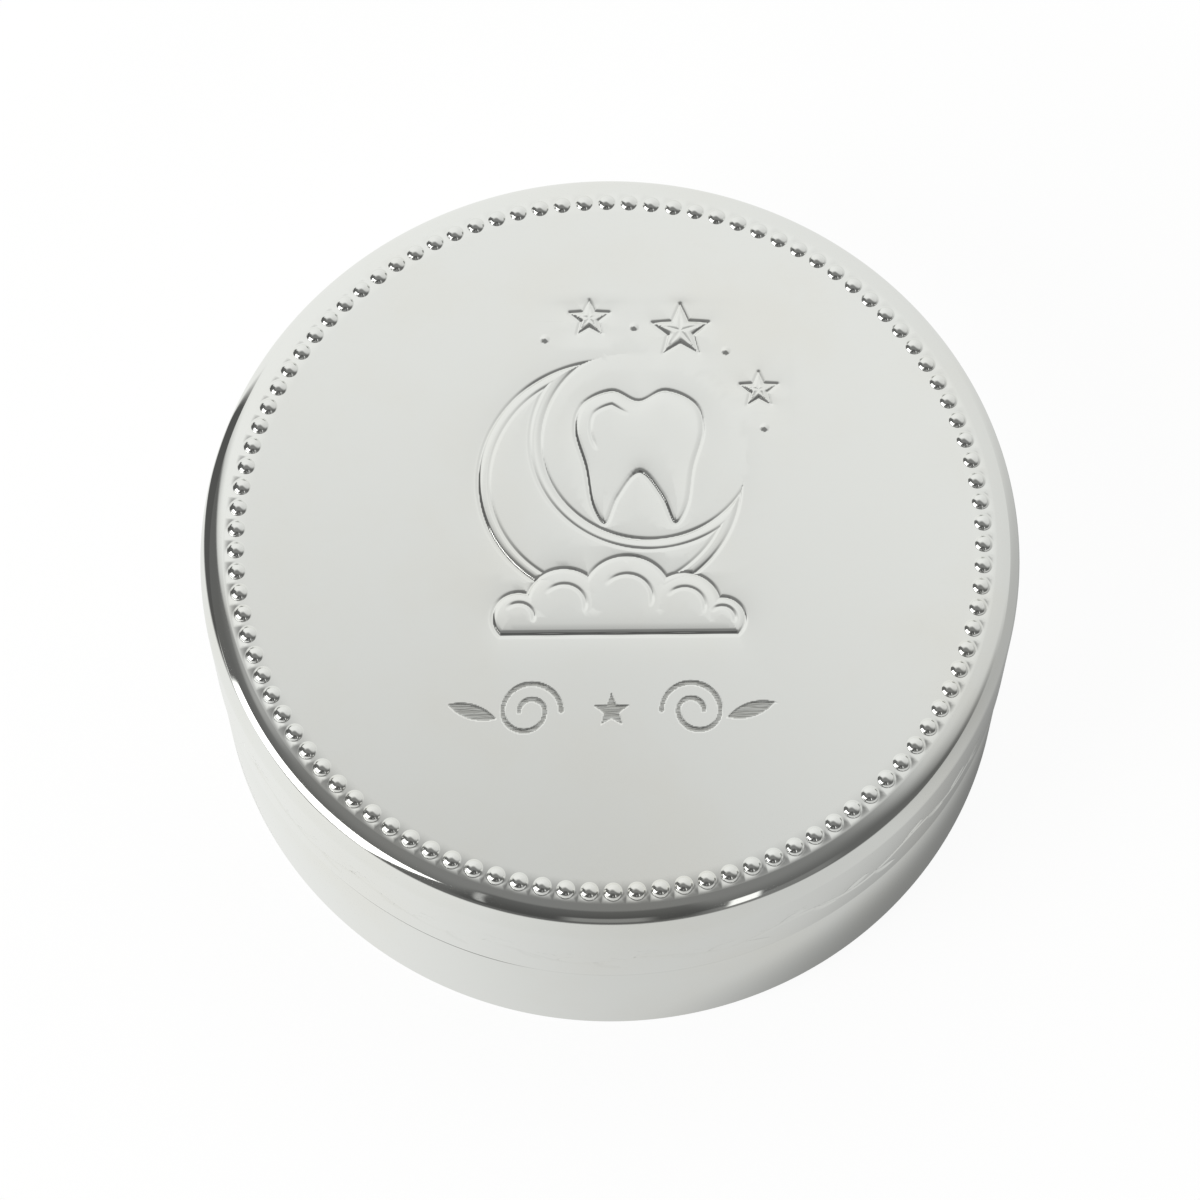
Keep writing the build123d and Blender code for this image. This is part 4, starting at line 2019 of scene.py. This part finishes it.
    def surroundings(self, recipe: Recipe) -> Value:
        """Brightness of the studio in each direction.

        Args:
            recipe: The world's tree.

        Returns:
            The brightness.
        """
        way = self.way(recipe)
        flag = way.lift.between(*self.flag_lifts) * way.bearing.between(*self.flag_bearings)
        level = (self.flag_share * flag).blend(self.dark_room(way), self.flag_level)
        level = self.lit_part(way).blend(level, self.sheet_tone(way.bearing))
        for patch in (self.shelf, self.window, self.rod):
            level = patch.over(way, level)
        dark = way.bearing.between(*self.dark_bearings)
        table = dark.blend(self.table_tone(way.bearing), self.dark_level)
        level = self.table_part(way).blend(level, table)
        return self.softbox(way).blend(level, self.lamp_level)

    def mirrored_table(self, recipe: Recipe) -> Value:
        """Tone of the table as the silver mirrors it, with the box's own shade painted near it and
        a painted dark wedge at the left back.

        Args:
            recipe: The table's tree.

        Returns:
            The tone.
        """
        x, y = (axis / MM for axis in recipe.axes(recipe.place())[:2])
        tone = self.table_tone(bearing_of(x, y))
        for pool_x, pool_y, edge, depth in self.painted_shadow_pools:
            away = distance(x - pool_x, y - pool_y)
            tone = tone * (1 - depth * away.smooth(*edge))
        # A dark wedge painted on the table at the left back, which the silver shows as a dark
        # reflection.
        left, back = self.wedge_tip[0] - x, y - self.wedge_tip[1]
        turn = back.maths("ARCTAN2", left) * math.degrees(1)
        out = (left**2 + back**2).smooth(*self.wedge_start)
        return (turn.between(*self.wedge_turns) * out).blend(tone, self.dark_level)

    def tinted(self, recipe: Recipe, tone: Value) -> Value:
        """A tone as a colour, in the room's slightly green white."""
        red, blue = self.tint_shares
        return recipe.add("ShaderNodeCombineXYZ", None, {0: tone * red, 1: tone, 2: tone * blue})

    def build_camera(self) -> None:
        """Set the camera where the photograph was taken from."""
        data = bpy.data.cameras.new("camera")
        data.sensor_width = self.sensor
        data.lens = self.focal_pixels / self.frame_pixels * self.sensor
        data.clip_start = self.camera_near * MM
        camera = bpy.data.objects.new("camera", data)
        place = Matrix.Translation(Vector(self.camera_place) * MM)
        tilt = Matrix.Rotation(math.radians(90 - self.camera_pitch), 4, "X")
        roll = Matrix.Rotation(math.radians(self.camera_roll), 4, "Z")
        camera.matrix_world = place @ tilt @ roll
        bpy.context.scene.collection.objects.link(camera)
        bpy.context.scene.camera = camera

    def build_world(self) -> None:
        """Make the surroundings, plain white where the camera sees them."""
        world = bpy.data.worlds.new("studio")
        bpy.context.scene.world = world
        recipe = Recipe(world)
        tint = self.tinted(recipe, self.surroundings(recipe))
        lit = recipe.add("ShaderNodeBackground", None, {"Color": tint})
        white = recipe.add("ShaderNodeBackground", None, {"Color": (1.0, 1.0, 1.0, 1.0)})
        seen = recipe.add("ShaderNodeLightPath", output="Is Camera Ray")
        recipe.finish("ShaderNodeOutputWorld", recipe.choose(seen, lit, white))

    def build_table(self) -> None:
        """Make the pale table that the box stands on."""
        half = self.table_half
        blank = Blank()
        corners = [(-half, -half, 0), (half, -half, 0), (half, half, 0), (-half, half, 0)]
        blank.add(np.array(corners), [(0, 1, 2, 3)])
        table = blank.make("table_top")
        table.data.materials.append(self.table_material())

    def table_material(self) -> bpy.types.Material:
        """A white sheet that keeps the box's shadow.

        Returns:
            The material.
        """
        material = bpy.data.materials.new("white_sheet")
        recipe = Recipe(material)
        tint = self.tinted(recipe, self.mirrored_table(recipe))
        paper = recipe.add("ShaderNodeBsdfDiffuse", None, {"Color": (*self.paper, 1.0)})
        lit = recipe.add("ShaderNodeEmission", None, {"Color": tint})
        white = recipe.add("ShaderNodeEmission", None, {"Strength": self.table_white})
        seen = recipe.add("ShaderNodeLightPath", output="Is Camera Ray")
        shaded = recipe.choose(seen.other("Is Glossy Ray"), paper, lit)
        away = distance(*recipe.axes(recipe.place())[:2]) / MM
        share = away.smooth(*self.near_table).blend(self.near_share, 1.0)
        mixed = recipe.choose(seen * share, shaded, white)
        recipe.finish("ShaderNodeOutputMaterial", mixed)
        return material

    def build_lamp(self) -> None:
        """Make the soft lamp from the left that gives the box its faint shadow."""
        data = bpy.data.lights.new("soft_lamp", "AREA")
        data.shape = "DISK"
        data.size = self.soft_size * MM
        data.energy = self.soft_watts
        lamp = bpy.data.objects.new("soft_lamp", data)
        lamp.location = Vector(self.soft_place) * MM
        lamp.rotation_euler = (-lamp.location).to_track_quat("-Z", "Y").to_euler()
        lamp.visible_glossy = False
        bpy.context.scene.collection.objects.link(lamp)

    def build(self) -> None:
        """Make the whole studio."""
        self.build_camera()
        self.build_world()
        self.build_table()
        self.build_lamp()
        bpy.context.scene.view_settings.view_transform = "Standard"


def dress_node(node: str, material: bpy.types.Material) -> None:
    """Give a node that keeps its own shape a finish.

    Args:
        node: The node's name.
        material: The finish.
    """
    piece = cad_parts[node]
    piece.data.materials.clear()
    piece.data.materials.append(material)
    log.info("%s keeps its shape", node)


def main() -> None:
    """Build the studio, then the box from the lid down."""
    logging.basicConfig(level=logging.INFO, format="%(name)s: %(message)s")
    Studio().build()
    silver = SilverPlate().make("silver_plate")
    velvet = Velvet().make("velvet")
    card = Card().make("card")
    wadding = Wadding().make("wadding")
    felt = Felt().make("felt")
    Lid().build(silver, CutSilver().make("silver_engraved"))
    Base().build(silver, felt)
    WallLining().build(velvet)
    Pad("floor_pad", Body.BASE, face_down=False, crown=0.9, ease=1.6).build(velvet)
    Pad("lid_pad", Body.LID_LINING, face_down=True, crown=0.6, ease=1.2).build(velvet)
    for node in ("wall_lining_board", "floor_pad_board", "lid_pad_board"):
        dress_node(node, card)
    for node in ("floor_pad_foam", "lid_pad_foam"):
        dress_node(node, wadding)


if __name__ == "__main__":
    main()
